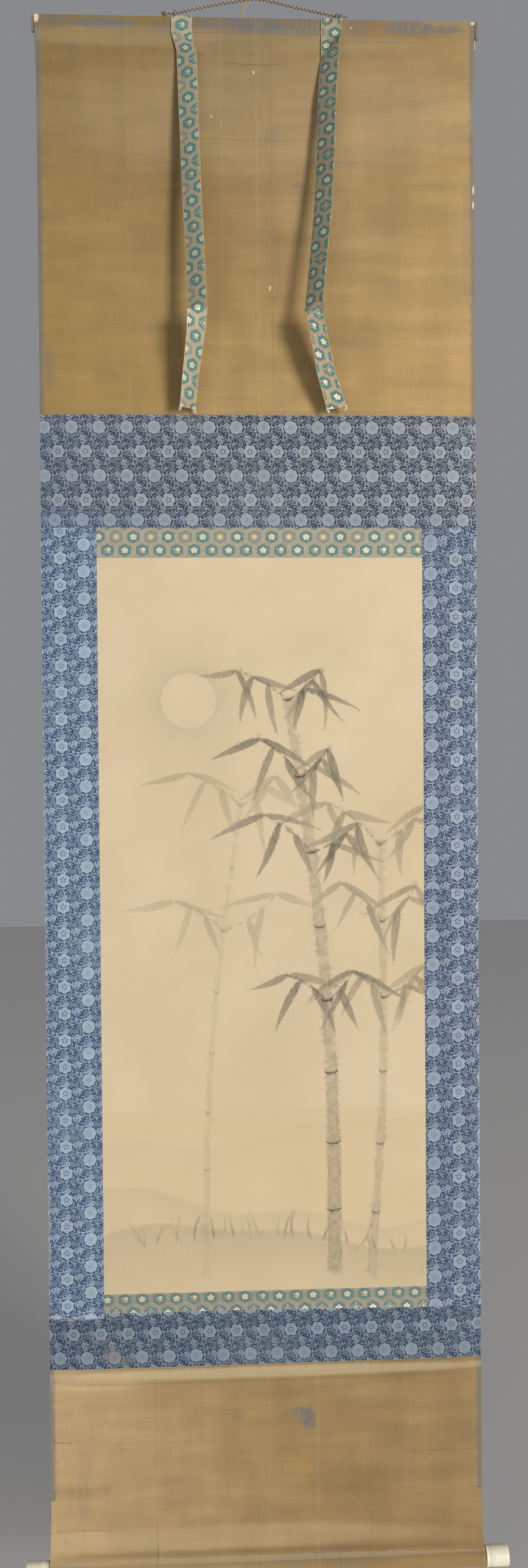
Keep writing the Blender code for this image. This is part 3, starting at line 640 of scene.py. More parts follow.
def cloth_mesh(name, points, faces, on_a_side, flat_map, materials):
    """A closed mesh whose faces are first the front, then as many of the back, then the rim."""
    mesh = bpy.data.meshes.new(name)
    mesh.from_pydata(points.tolist(), [], faces)
    for material in materials:
        mesh.materials.append(material)
    sides = np.full(len(faces), FRONT)
    sides[on_a_side:2 * on_a_side] = BACK
    mesh.polygons.foreach_set("material_index", sides.astype(np.int32))
    used = np.array([corner for face in faces for corner in face])
    flat = np.tile(flat_map.reshape(-1, 2), (2, 1))[used]
    layer = mesh.uv_layers.new(name="cloth_map")
    layer.data.foreach_set("uv", flat.ravel().astype(np.float32))
    mesh.shade_smooth()
    mesh.set_sharp_from_angle(angle=SHARP_FROM)
    return new_object(name, mesh)


def sheet_piece(name, middle, flat_map, materials):
    """A closed sheet round a grid of middle points, rows running down, columns right."""
    down, across = middle.shape[:2]
    along_rows = np.gradient(middle, axis=0)
    along_columns = np.gradient(middle, axis=1)
    normals = np.cross(along_rows, along_columns)
    normals /= np.linalg.norm(normals, axis=2, keepdims=True)
    points = np.concatenate([(middle + normals * (side * 0.5 * SHEET_THICK)).reshape(-1, 3)
                             for side in (1.0, -1.0)])
    index = np.arange(down * across).reshape(down, across)
    a, b = index[:-1, :-1].ravel(), index[:-1, 1:].ravel()
    c, d = index[1:, 1:].ravel(), index[1:, :-1].ravel()
    back = down * across
    faces = np.concatenate([np.stack([a, d, c, b], 1), np.stack([a, b, c, d], 1) + back])
    rim = np.concatenate([index[0, :], index[1:, -1], index[-1, -2::-1], index[-2:0:-1, 0]])
    following = np.roll(rim, -1)
    edge = np.stack([rim, following, following + back, rim + back], 1)
    faces = np.concatenate([faces, edge]).tolist()
    return cloth_mesh(name, points, faces, len(a), flat_map, materials)


def path_lengths(path):
    """Distance along a path of points, one number for each point."""
    steps = np.linalg.norm(np.diff(path, axis=0), axis=1)
    return np.concatenate([[0.0], np.cumsum(steps)])


print("sheets ready")

# %% [markdown]
# ## The damask
# Damask is woven in one piece with its pattern: the same threads lie as a plain ground or as
# long shining floats. The figure is a common one, peonies among scrolling vines, in rows that
# are shifted by half a step. It is worked out here as distances in millimetres, so it stays
# crisp from any side. Each small motif is a node group. A motif first wraps the place that it
# looks at into its own repeat, so one motif fills the whole cloth.

# %% Places in a repeat
REPEAT_WIDTH, ROW_STEP = 34.0, 30.0


def round_parts(x, y):
    """A place as distance from the middle and as an angle."""
    distance = (x * x + y * y).math("SQRT")
    return distance, y.math("ARCTAN2", x)


def open_group(group, enter, *names):
    """The named inputs of a group as wires."""
    return [Wire(group, enter.outputs[name]) for name in names]


def read_group(tree, group, *names, **values):
    """A group placed in a tree, and its named outputs as wires."""
    node = add_node(tree, "ShaderNodeGroup", {"node_tree": group}, **values)
    return [Wire(tree, node.outputs[name]) for name in names]


wrap_group, enter, leave = new_group(
    "half_step_repeat", "ShaderNodeTree",
    [("X", FLOAT, 0.0), ("Y", FLOAT, 0.0), ("Middle X", FLOAT, 0.0), ("Middle Y", FLOAT, 0.0),
     ("Turn", FLOAT, 0.0), ("Hand", FLOAT, 1.0)],
    [("Distance", FLOAT), ("Angle", FLOAT), ("Row", FLOAT)],
)
x, y, middle_x, middle_y, turn, hand = open_group(
    wrap_group, enter, "X", "Y", "Middle X", "Middle Y", "Turn", "Hand")
down = y - middle_y
row = (down / ROW_STEP).math("ROUND")
down = down - row * ROW_STEP
side = x - middle_x - row * (0.5 * REPEAT_WIDTH)
side = side - (side / REPEAT_WIDTH).math("ROUND") * REPEAT_WIDTH
distance, angle = round_parts(side, down)
join(wrap_group, distance, leave.inputs["Distance"])
join(wrap_group, angle * hand - turn, leave.inputs["Angle"])
join(wrap_group, row, leave.inputs["Row"])


def wrapped(tree, x, y, middle_x, middle_y, turn=0.0, hand=1.0):
    return read_group(tree, wrap_group, "Distance", "Angle", X=x, Y=y, Middle_X=middle_x,
                      Middle_Y=middle_y, Turn=turn, Hand=hand)


# %% Motifs of the damask
def spiral(distance, angle, radius):
    """A scroll of one and a half turns."""
    arms = (distance / 1.95 - angle / FULL_TURN).math("PINGPONG", 0.5)
    line = (arms * 1.95).soft_below(0.42, 0.14)
    return line * distance.soft_below(radius, 0.15)


def blossom(distance, angle, radius):
    """Five small petals round a dark ring."""
    edge = ((angle * 2.5).cosine().size() * 0.26 + 0.74) * radius
    ring = (distance - 0.28 * radius).size().soft_below(0.22, 0.12)
    return (distance - edge).soft_below(0.0, 0.15) * (1.0 - ring)


def hook(distance, angle, radius):
    """A curling leaf: an arc that is thick at its head and fine at its tail."""
    reach, turn = round_parts(distance * angle.cosine(), distance * angle.sine() - 0.5 * radius)
    thick = (turn - 0.4).cosine() * (0.08 * radius) + 0.18 * radius
    arc = (reach - 0.62 * radius).size() - thick
    return arc.soft_below(0.0, 0.15) * turn.size().soft_below(2.3, 0.1)


def three_lobes(distance, angle, radius):
    """A small leaf of one long and two short lobes on one foot."""
    lobes = (angle * 1.5).cosine().size().math("POWER", 1.5) * 0.65 + 0.35
    front = angle.math("WRAP", math.pi, -math.pi).size().soft_below(2.2, 0.3)
    return (distance - lobes * front * radius).soft_below(0.0, 0.18)


def peony(distance, angle):
    """A full closed flower: eight scallops and fine lines that run out from its heart."""
    edge = ((angle * 4.0).cosine().size() * 0.9) + 7.7
    lines = ((angle * 7.0 + (distance * 0.7).sine() * 1.3).sine().size() * distance / 7.0)
    lines = lines.soft_below(0.17, 0.12)
    broken = (angle * 3.0 + distance * 1.9).sine() > -0.25
    lines = lines * broken * (distance > 1.0) * distance.soft_below(6.9, 0.2)
    return (distance - edge).soft_below(0.0, 0.15) * (1.0 - lines * 0.95)


def open_peony(distance, angle):
    """An open flower: a ring round its heart, slits in the petals and lines between them."""
    edge = ((angle * 3.0).cosine().size() * 1.5) + 7.2
    ring = (distance - 2.2).size().soft_below(0.34, 0.12)
    fold = ((angle * 2.5).sine().size() * distance / 2.5).soft_below(0.20, 0.10)
    fold = fold * (distance > 2.4) * distance.soft_below(6.8, 0.2) * 0.7
    slit = ((angle * 2.5).cosine().size() * distance / 2.5).soft_below(0.42, 0.12)
    slit = slit * (distance > 2.4) * distance.soft_below(4.9, 0.2)
    dark = ring.larger(fold).larger(slit)
    return (distance - edge).soft_below(0.0, 0.15) * (1.0 - dark * 0.9)


# %% Evenly spread motifs
def spread_motifs(count, seed):
    """Places in the repeat that push each other and the large flower away until they are even."""
    rng = np.random.default_rng(seed)
    places = rng.uniform((0.0, 0.0), (REPEAT_WIDTH, ROW_STEP), (count, 2))
    for _ in range(160):
        others = np.vstack([places, [[0.0, 0.0]]])
        apart = places[:, None] - others[None]
        rows = np.round(apart[..., 1] / ROW_STEP)
        apart[..., 1] -= rows * ROW_STEP
        apart[..., 0] -= rows * 0.5 * REPEAT_WIDTH
        apart[..., 0] -= np.round(apart[..., 0] / REPEAT_WIDTH) * REPEAT_WIDTH
        reach = np.linalg.norm(apart, axis=2) + 1e-6
        wanted = np.full(reach.shape, 6.6)
        wanted[:, -1] = 12.0
        push = np.maximum(wanted - reach, 0.0) / reach * (reach > 1e-3)
        places = places + 0.18 * (push[..., None] * apart).sum(axis=1)
    return places, rng


motif_places, motif_rng = spread_motifs(18, 7)
print(f"{len(motif_places)} motifs in each repeat besides the large flower")

# %% Damask group
VINE_TONE = 0.86
MOTIFS = {
    # how it is drawn, its size, and the room that it clears among the vines
    "spiral": (spiral, 3.0, 3.4), "hook": (hook, 3.0, 2.9),
    "lobes": (three_lobes, 3.2, 2.6), "blossom": (blossom, 3.6, 3.4),
}
MOTIF_ORDER = ["spiral", "hook", "lobes", "spiral", "blossom", "hook", "lobes"]
damask_group, enter, leave = new_group(
    "damask", "ShaderNodeTree",
    [("Map", VECTOR, None), ("Parts To A Metre", FLOAT, 1000.0)],
    [("Figure", FLOAT)],
)
scale = Wire(damask_group, enter.outputs["Parts To A Metre"])
x, y = [part * scale for part in split(damask_group, enter.outputs["Map"])]

# Vines follow the lines where a sum of two waves is nought, so they never end
slant = (x / REPEAT_WIDTH - y / (2.0 * ROW_STEP)) * FULL_TURN
rise = y * (FULL_TURN / ROW_STEP)
bend = rise.sine() * 0.9 + ((slant + rise) * 2.0).sine() * 0.8
vine = (slant + bend).sine() + (rise * 2.0 + slant).sine() * 0.7
bend = (slant * 3.0 + rise).cosine() * 0.7 + 1.0
second = (slant * 2.0 - rise + bend).sine() + (rise + slant + 2.0).cosine() * 0.8
bend = (slant * 2.0 - rise).sine() * 1.2
third = (slant * 3.0 + rise * 2.0 + bend).sine() + (slant - rise * 3.0).sine() * 0.9
figure = vine.size().soft_below(0.20, 0.04)
for branch in (second, third):
    figure = figure.larger(branch.size().soft_below(0.24, 0.04))
distance, angle = wrapped(damask_group, x, y, 0.0, 0.0)
figure = figure * (1.0 - distance.soft_below(9.4, 0.2))
for i, place in enumerate(motif_places):
    draw, radius, room = MOTIFS[MOTIF_ORDER[i % len(MOTIF_ORDER)]]
    facing = motif_rng.uniform(0.0, FULL_TURN)
    hand = motif_rng.choice((-1.0, 1.0))
    near, around = wrapped(damask_group, x, y, place[0], place[1], facing, hand)
    figure = (figure * (1.0 - near.soft_below(room, 0.1))).larger(draw(near, around, radius))
closed = peony(distance, angle)
opened = open_peony(distance, angle)
row = (y / ROW_STEP).math("ROUND").math("FLOORED_MODULO", 2.0)
flower = closed * (1.0 - row) + opened * row
figure = (figure * VINE_TONE).larger(flower)
join(damask_group, figure, leave.inputs["Figure"])
print(f"damask group of {len(damask_group.nodes)} nodes")

# %% [markdown]
# ## The brocade
# The narrow strips and the two streamers are a brocade of linked hexagons: blue-green cells
# inside double cream lines, with a small emblem in each. A place belongs to the hexagon whose
# middle is nearest. Turning its angle into one sixth of a circle then leaves a single edge to
# draw, and all six edges follow.

# %% Hexagon cells
CELL_WIDTH, CELL_ROW = 21.5, 18.62


def nearest_cell(x, y, offset):
    """Steps from the nearest cell middle, and the cell's column and row."""
    column = (x / CELL_WIDTH - offset).math("ROUND") + offset
    row = (y / (2.0 * CELL_ROW) - offset).math("ROUND") + offset
    return x - column * CELL_WIDTH, y - row * (2.0 * CELL_ROW), column, row


def choose(factor, first, second):
    """The first wire where the factor is 0 and the second where it is 1."""
    return first + (second - first) * factor


def emblem_blossom(distance, angle):
    """Five round petals round a small ring."""
    sector = (angle / (0.4 * math.pi)).math("FRACT") * (0.4 * math.pi) - 0.2 * math.pi
    to_petal = ((distance * sector.cosine() - 2.75).math("POWER", 2.0)
                + (distance * sector.sine()).math("POWER", 2.0)).math("SQRT")
    ring = (distance - 1.25).size().soft_below(0.18, 0.12)
    return to_petal.soft_below(1.55, 0.15).larger(distance.soft_below(1.2, 0.2)) * (1.0 - ring)


def emblem_sun(distance, angle):
    """A disc with dots and rays round it."""
    rays = ((angle * 8.0).sine().size() * distance / 8.0).soft_below(0.22, 0.12)
    rays = rays * (distance > 4.1) * distance.soft_below(5.9, 0.1)
    return distance.soft_below(3.1, 0.2).larger(rays)


def emblem_lozenge(x, y, distance):
    """A lozenge with a ringed disc inside and a dot at each point."""
    slant = x.size() / 6.2 + y.size() / 5.4
    line = (slant - 0.93).size().soft_below(0.05, 0.03)
    ring = (distance - 2.3).size().soft_below(0.25, 0.15)
    near_axis = x.size().smaller(y.size()) < 0.6
    dots = (x.size().larger(y.size()) - 5.9).size().soft_below(0.55, 0.15) * near_axis
    return line.larger(ring).larger(dots).larger(distance.soft_below(1.5, 0.2))


def emblem_tortoise(x, y):
    """A round shell with a short head and a tail that fans out."""
    shell_x, shell_y = x - 1.2, y - 1.1
    shell = (shell_x * shell_x + shell_y * shell_y).math("SQRT").soft_below(2.7, 0.2)
    tail = x * 0.0
    for foot_x, foot_y, bend in ((-4.6, 1.6, 0.5), (-3.6, -2.6, -0.9), (0.4, -4.4, -0.7),
                                 (3.6, -3.4, 0.4)):
        length = math.hypot(foot_x, foot_y)
        along = (x * foot_x + y * foot_y) / length
        across = (y * foot_x - x * foot_y) / length + (along / length * math.pi).sine() * bend
        limb = across.size().soft_below(0.42, 0.15)
        tail = tail.larger(limb * (along > 0.0) * along.soft_below(length, 0.2))
    return shell.larger(tail)


# %% Brocade group
brocade_group, enter, leave = new_group(
    "hexagon_brocade", "ShaderNodeTree",
    [("Map", VECTOR, None), ("Start X", FLOAT, 0.0), ("Start Y", FLOAT, 0.0),
     ("Upright", FLOAT, 1115.0)],
    [("Cell", FLOAT), ("Pale Cell", FLOAT), ("Lines", FLOAT), ("Emblem", FLOAT),
     ("Gold", FLOAT)],
)
x, y = split(brocade_group, enter.outputs["Map"])
start_x, start_y, upright = open_group(brocade_group, enter, "Start X", "Start Y", "Upright")
x, y = (x - start_x) * 1000.0, (y - start_y) * upright
first = nearest_cell(x, y, 0.0)
second = nearest_cell(x, y, 0.5)
first_reach = first[0] * first[0] + first[1] * first[1]
second_reach = second[0] * second[0] + second[1] * second[1]
is_second = first_reach > second_reach
cell_x, cell_y, column, row = [choose(is_second, a, b) for a, b in zip(first, second)]
distance, angle = round_parts(cell_x, cell_y)
SIXTH = math.pi / 3.0
sector = ((angle / SIXTH + 0.5).math("FRACT") - 0.5) * SIXTH
to_edge = distance * sector.cosine()
beside = (distance * sector.sine() / 6.2).size().smaller(1.0)
bow = 1.0 - beside * beside
cell = to_edge.soft_below(8.0, 0.15)
lines = (to_edge - 8.15).size().soft_below(0.24, 0.12)
for height, lean in ((8.75, 0.0), (9.95, -0.55), (10.15, 0.45)):
    lines = lines.larger((to_edge - bow * lean - height).size().soft_below(0.20, 0.12))
corner = (1.0 - beside).size().soft_below(0.16, 0.06) * (to_edge > 8.6)
lines = lines.larger(corner * 0.9)
flower = emblem_blossom(distance, angle + 0.3)
sun = emblem_sun(distance, angle)
lozenge = emblem_lozenge(cell_x, cell_y, distance)
tortoise = emblem_tortoise(cell_x, cell_y)
half_row = (row * 2.0).math("ROUND")
step = (half_row / 2.0 + 0.25).math("FLOOR") + (column + 0.25).math("FLOOR")
is_other = step.math("FLOORED_MODULO", 2.0)
kind = half_row.math("FLOORED_MODULO", 4.0)
other = choose(kind > 0.5, sun, tortoise)
other = choose((kind > 1.5) * (kind < 2.5), other, lozenge)
emblem = choose(is_other, flower, other)
join(brocade_group, cell, leave.inputs["Cell"])
join(brocade_group, cell * is_other * (kind < 0.5), leave.inputs["Pale Cell"])
join(brocade_group, lines * (1.0 - cell), leave.inputs["Lines"])
join(brocade_group, emblem * cell, leave.inputs["Emblem"])
join(brocade_group, distance.soft_below(2.6, 0.3) * is_other, leave.inputs["Gold"])
print(f"brocade group of {len(brocade_group.nodes)} nodes")

# %% [markdown]
# ## Weave and age
# Two effects serve every cloth. The weave group draws the crossing threads, as a height for the
# bump and for painted shade where the threads dip, and a shade for the colour. The age group gives
# slow stains and the fine streaks where single threads took the dye in their own way.

# %% Weave group
weave_group, enter, leave = new_group(
    "weave", "ShaderNodeTree",
    [("Map", VECTOR, None), ("Warp", FLOAT, 2400.0), ("Weft", FLOAT, 2400.0)],
    [("Height", FLOAT), ("Shade", FLOAT)],
)
u, v = split(weave_group, enter.outputs["Map"])
warp, weft = open_group(weave_group, enter, "Warp", "Weft")
warp_wave, weft_wave = (u * warp * math.pi).sine(), (v * weft * math.pi).sine()
over = (warp_wave * weft_wave) > 0.0
height = choose(over, warp_wave.size(), weft_wave.size())
warp_streaks, weft_streaks = [
    noise(weave_group, enter.outputs["Map"], 700.0, 3.0, 0.7, stretch)
    for stretch in ((1.0, 0.02, 1.0), (0.02, 1.0, 1.0))
]
join(weave_group, height, leave.inputs["Height"])
join(weave_group, (warp_streaks + weft_streaks) * 0.5, leave.inputs["Shade"])

# %% Age group
age_group, enter, leave = new_group(
    "age", "ShaderNodeTree",
    [("Map", VECTOR, None), ("Size", FLOAT, 6.0)],
    [("Slow", FLOAT), ("Blotches", FLOAT), ("Specks", FLOAT)],
)
grow = Wire(age_group, enter.outputs["Size"])
slow = noise(age_group, enter.outputs["Map"], 6.0, 4.0, 0.55)
blotches = noise(age_group, enter.outputs["Map"], grow * 9.0, 5.0, 0.65)
speck = noise(age_group, enter.outputs["Map"], 330.0, 2.0, 0.6)
join(age_group, slow, leave.inputs["Slow"])
join(age_group, blotches, leave.inputs["Blotches"])
join(age_group, speck.soft_below(0.27, 0.025), leave.inputs["Specks"])
print("weave and age groups")


# %% Marks on a cloth
HALF_MAP = 0.2745
MARGIN, MARGIN_FROM = 0.0060, 0.2725


def painted_light_line(across, painted_light_tones):
    """Painted light and shade: a brightness through three values, from the left edge over the
    middle to the right.
    """
    left, middle, right = painted_light_tones
    lean, dip = 0.5 * (right - left), 0.5 * (left + right) - middle
    return across * lean + across * across * dip + (middle - 1.0)


def marks(u, v, wobble, rows):
    """A mask of soft-edged marks: middle, half sizes and strength of each."""
    total = wobble * 0.0
    for x, z, wide, high, strength in rows:
        side = (u - (x + HALF_MAP) + wobble * 0.004) / wide
        rise = (v - z + wobble * 0.003) / high
        reach = side * side + rise * rise + wobble * 0.9
        total = total.larger(reach.soft_below(1.0, 0.6) * strength)
    return total


def crease_shade(u, v, rows):
    """Thin lines of painted shade along folds: middle, half length, sag at the middle, half
    thickness and strength.
    """
    total = u * 0.0
    for x, z, reach, sag, thick, strength in rows:
        side = (u - (x + HALF_MAP)) / reach
        line = (v - z + (1.0 - side * side) * sag).size().soft_below(thick, thick)
        total = total.larger(line * side.size().soft_below(0.9, 0.12) * strength)
    return total


# %% Cloth materials
def shade_by(tree, color, amount, value, around=0.5):
    """A colour made lighter and darker by a value that swings round its middle."""
    return scaled(tree, color, (value - around) * amount + 1.0)


FLAKES, STAIN, FADED_BLUE = paint(168, 176, 180), paint(126, 112, 90), paint(92, 122, 160)
FADES_OVER = 0.20


def damask_material(name, ground, figure_color, start, turned=False, units=1000.0,
                    flakes=(), stains=(), faded_left=0.0):
    """Damask: a dull ground, shining floats for the figure, and threads across both."""
    material, tree, shader = new_material(name, roughness=0.6, sheen=0.1)
    uv = piece_map(tree)
    moved = add_node(tree, "ShaderNodeMapping", Vector=uv, Location=(*start, 0.0),
                     Rotation=(0.0, 0.0, 0.5 * math.pi if turned else 0.0))
    figure, = read_group(tree, damask_group, "Figure", Map=moved.outputs["Vector"],
                         Parts_To_A_Metre=units)
    height, shade = read_group(tree, weave_group, "Height", "Shade", Map=uv, Warp=2600.0,
                               Weft=2000.0)
    slow, blotches = read_group(tree, age_group, "Slow", "Blotches", Map=uv, Size=3.0)
    color = mix_color(tree, figure, ground, figure_color)
    color = mix_color(tree, ((slow - 0.5) * 0.9).larger(0.0), color, figure_color)
    color = shade_by(tree, color, 0.9, shade)
    color = shade_by(tree, color, 0.55, blotches)
    # Painted shade: darker where the threads dip, following the weave's height.
    color = shade_by(tree, color, 0.30, height, 0.6)
    u, v = split(tree, uv)
    if faded_left:
        from_left = (1.0 - u / FADES_OVER).larger(0.0)
        color = mix_color(tree, from_left * faded_left, color, FADED_BLUE)
    if flakes or stains:
        wobble = noise(tree, uv, 320.0, 4.0, 0.7, (0.30, 1.0, 1.0)) - 0.5
        color = mix_color(tree, marks(u, v, wobble * 3.2, flakes), color, FLAKES)
        color = mix_color(tree, marks(u, v, wobble, stains), color, STAIN)
    tree.links.new(color, shader.inputs["Base Color"])
    join(tree, 0.72 - figure * 0.22, shader.inputs["Roughness"])
    add_bump(tree, shader, height * 0.5 + figure * 0.8, 0.35, 0.00012)
    return material


# The bands and the turned columns are one damask. The bands' darker, duller colours and the
# columns' brighter ones are painted sheen: the weave shines less where it runs across than where it
# runs down.
navy_damask = damask_material("navy_damask_cloth", paint(25, 38, 63), paint(139, 145, 152),
                              (0.0266, 0.0082), faded_left=0.12)
narrow_damask = damask_material("narrow_damask_cloth", paint(26, 41, 68), paint(135, 143, 153),
                                (0.0144, 0.0403), faded_left=0.20)
blue_left = damask_material(
    "blue_damask_left", paint(40, 67, 101), paint(149, 165, 180), (0.009, 0.004),
    turned=True, units=1020.0,
    flakes=[(-0.262, 0.0125, 0.009, 0.0018, 0.7), (-0.238, 0.0120, 0.006, 0.0020, 0.6),
            (-0.223, 0.0130, 0.007, 0.0018, 0.6), (-0.2715, 0.120, 0.0016, 0.09, 0.4),
            (-0.2712, 0.560, 0.0012, 0.20, 0.4)],
)
blue_right = damask_material(
    "blue_damask_right", paint(34, 57, 88), paint(134, 147, 162), (0.011, 0.020),
    turned=True, units=945.0,
    flakes=[(0.2712, 0.200, 0.0010, 0.12, 0.5)],
)
blue_bottom = damask_material(
    "blue_damask_bottom", paint(28, 49, 77), paint(121, 134, 145), (0.0185, 0.037),
    flakes=[(-0.248, 0.0735, 0.013, 0.0014, 0.5), (-0.225, 0.0740, 0.008, 0.0010, 0.4),
            (-0.150, 0.0790, 0.030, 0.0010, 0.3), (0.050, 0.0790, 0.060, 0.0008, 0.3)],
    stains=[(-0.1935, 0.0270, 0.010, 0.0095, 0.38), (-0.1765, 0.0180, 0.007, 0.0055, 0.36),
            (-0.210, 0.0440, 0.012, 0.0040, 0.20)],
)


def brocade_material(name, start, colors, half):
    """Brocade: a blue-green cell, cream outlines and gilt emblems that stand a little proud."""
    material, tree, shader = new_material(name, roughness=0.5, sheen=0.1)
    cell_color, line_color, ground = colors
    uv = piece_map(tree)
    hem = 1.0 - split(tree, uv)[0].size().soft_below(half - 0.0007, 0.0003)
    cell, pale, lines, emblem, gold = read_group(
        tree, brocade_group, "Cell", "Pale Cell", "Lines", "Emblem", "Gold", Map=uv,
        Start_X=start[0], Start_Y=start[1])
    height, shade = read_group(tree, weave_group, "Height", "Shade", Map=uv, Warp=2200.0,
                               Weft=2200.0)
    color = mix_color(tree, cell, ground, cell_color)
    color = mix_color(tree, pale * 0.45, color, ground)
    color = mix_color(tree, lines.larger(hem), color, line_color)
    color = mix_color(tree, emblem, color, mix_color(tree, gold, EMBLEM, GILT))
    color = shade_by(tree, color, 1.0, shade)
    # Painted shade: darker where the threads dip, following the weave's height.
    color = shade_by(tree, color, 0.35, height, 0.6)
    tree.links.new(color, shader.inputs["Base Color"])
    raised = lines.larger(emblem)
    join(tree, 0.62 - raised * 0.24, shader.inputs["Roughness"])
    join(tree, raised * 0.25, shader.inputs["Metallic"])
    add_bump(tree, shader, raised + height * 0.35, 0.5, 0.00025)
    return material


EMBLEM, GILT = paint(208, 196, 160), paint(204, 168, 112)
BROCADES = {
    # where the pattern starts, then the cells, the thread of the lines and the ground
    "above": ((0.1165, 0.0360), paint(86, 120, 119), paint(166, 156, 133), paint(136, 131, 113)),
    "below": ((0.0000, 0.0427), paint(88, 117, 117), paint(156, 147, 126), paint(129, 123, 105)),
    "left": ((0.01075, -0.0300), paint(76, 120, 118), paint(184, 168, 135), paint(144, 133, 109)),
    # The right streamer's colours are a darker copy of the left's: painted shade, as that strip
    # hangs more in shadow.
    "right": ((0.0045, -0.0200), paint(70, 109, 106), paint(170, 153, 121), paint(132, 120, 97)),
}
# Half the width between the hems of a streamer. The strips have none, so theirs lies far off
HEMS = {"above": 1.0, "below": 1.0, "left": 0.0128, "right": 0.0128}
brocades = {place: brocade_material(f"brocade_{place}", start, colors, HEMS[place])
            for place, (start, *colors) in BROCADES.items()}
plain_back = new_material("streamer_back", paint(150, 140, 108), roughness=0.75)[0]
print("damask and brocade materials")

# %% [markdown]
# ## Brown silk, paper and lining
# The brown silk has faded, but for a grey-blue margin along each edge that the rolled-up scroll
# kept from the light. Its marks are listed with their places, so that wear lies where handling puts
# it: at the stave, along the folds and at the roller. The dark lines along folds, under the stave
# and at seams are painted shade, the pale bands on the lower panel are painted highlights, and each
# panel's brightness across and down is painted light.

# %% Brown silk
SILK_DARK, SILK_LIGHT = paint(148, 117, 65), paint(170, 143, 95)
# The pale colour serves both pale wear and painted highlights on the lower panel's folds.
GREY_WEAR, PALE_WEAR_AND_HIGHLIGHT = paint(96, 97, 98), paint(206, 194, 160)
# The dark line colour is painted shade along folds, under the stave and at seams, and also draws
# the dark upright lines; the pale line colour draws the light upright lines.
FOLD_SHADE_AND_DARK_LINE, PALE_LINE, SPECK = paint(92, 76, 52), paint(196, 178, 138), paint(96, 80, 56)
LOW_PANEL_FOOT = -1.9600
BANDS = [
    # how a band is drawn out, its scale and how much it shades
    ((1.0, 0.16, 1.0), 26.0, 0.36), ((0.14, 1.0, 1.0), 60.0, 0.36), ((0.18, 1.0, 1.0), 34.0, 0.40),
]


def brown_silk(name, foot, height_seen, margin_foot, painted_light_tones, left, rubbed, pale, crease_shade_rows,
               uprights, light_uprights):
    """Faded brown silk. The foot is the height at which the piece's map starts.

    Its painted light and shade are its brightness at the top, from left over the middle to right,
    and below.
    Left is the colour that the left side leans to, and how far.
    """
    left_tint, left_share = left
    material, tree, shader = new_material(name, roughness=0.78, sheen=0.25)
    uv = piece_map(tree)
    u, v = split(tree, uv)
    v = v + foot
    height, shade = read_group(tree, weave_group, "Height", "Shade", Map=uv, Warp=1900.0,
                               Weft=1500.0)
    slow, blotches, specks = read_group(tree, age_group, "Slow", "Blotches", "Specks", Map=uv,
                                        Size=2.0)
    wobble = noise(tree, uv, 85.0, 4.0, 0.6) - 0.5
    across = u / HALF_MAP - 1.0
    # Painted light and shade: the panel is made lighter and darker across and down, as the lamps
    # would light it.
    upper, lower = [painted_light_line(across, row) for row in painted_light_tones]
    tone = choose((foot + height_seen - v) / height_seen, upper, lower)
    color = mix_color(tree, slow, SILK_DARK, SILK_LIGHT)
    color = mix_color(tree, (0.1 - across).larger(0.0) * left_share, color, left_tint)
    # The painted light and shade are laid on the colour here.
    color = shade_by(tree, color, 1.0, tone, 0.0)
    color = shade_by(tree, color, 0.50, shade)
    color = shade_by(tree, color, 0.42, blotches)
    for stretch, scale, amount in BANDS:
        color = shade_by(tree, color, amount, noise(tree, uv, scale, 3.0, 0.5, stretch))
    from_middle = (u - HALF_MAP).size() + wobble * 0.008
    margin = (MARGIN_FROM - from_middle).soft_below(MARGIN, 0.0026)
    margin = margin * (v + wobble * 0.03 > margin_foot)
    streaks = noise(tree, uv, 420.0, 3.0, 0.6, (1.0, 0.10, 1.0))
    torn = ((streaks - 0.5) * 2.6 + (blotches - 0.5) * 3.4 + 0.72).larger(0.0).smaller(1.0)
    rub = (marks(u, v, wobble + (streaks - 0.5) * 0.8, rubbed) * torn).larger(margin * 0.66)
    color = mix_color(tree, rub, color, GREY_WEAR)
    # Pale marks: worn spots, and on the lower panel painted highlights along its folds and on the
    # roller's bulge.
    color = mix_color(tree, marks(u, v, wobble, pale), color, PALE_WEAR_AND_HIGHLIGHT)
    # Painted shade along folds, under the stave and at seams; the dark upright lines join it below.
    lines = crease_shade(u, v, crease_shade_rows)
    thin = u * 0.0
    for x, strength in uprights:
        lines = lines.larger((u - (x + HALF_MAP)).size().soft_below(0.0007, 0.0007) * strength)
    for x, strength in light_uprights:
        thin = thin.larger((u - (x + HALF_MAP)).size().soft_below(0.0012, 0.0022) * strength)
    color = mix_color(tree, lines, color, FOLD_SHADE_AND_DARK_LINE)
    color = mix_color(tree, thin, color, PALE_LINE)
    color = mix_color(tree, specks * 0.35, color, SPECK)
    # Painted shade: darker where the threads dip, following the weave's height.
    color = shade_by(tree, color, 0.22, height, 0.6)
    tree.links.new(color, shader.inputs["Base Color"])
    add_bump(tree, shader, height + blotches * 0.6, 0.35, 0.00015)
    return material


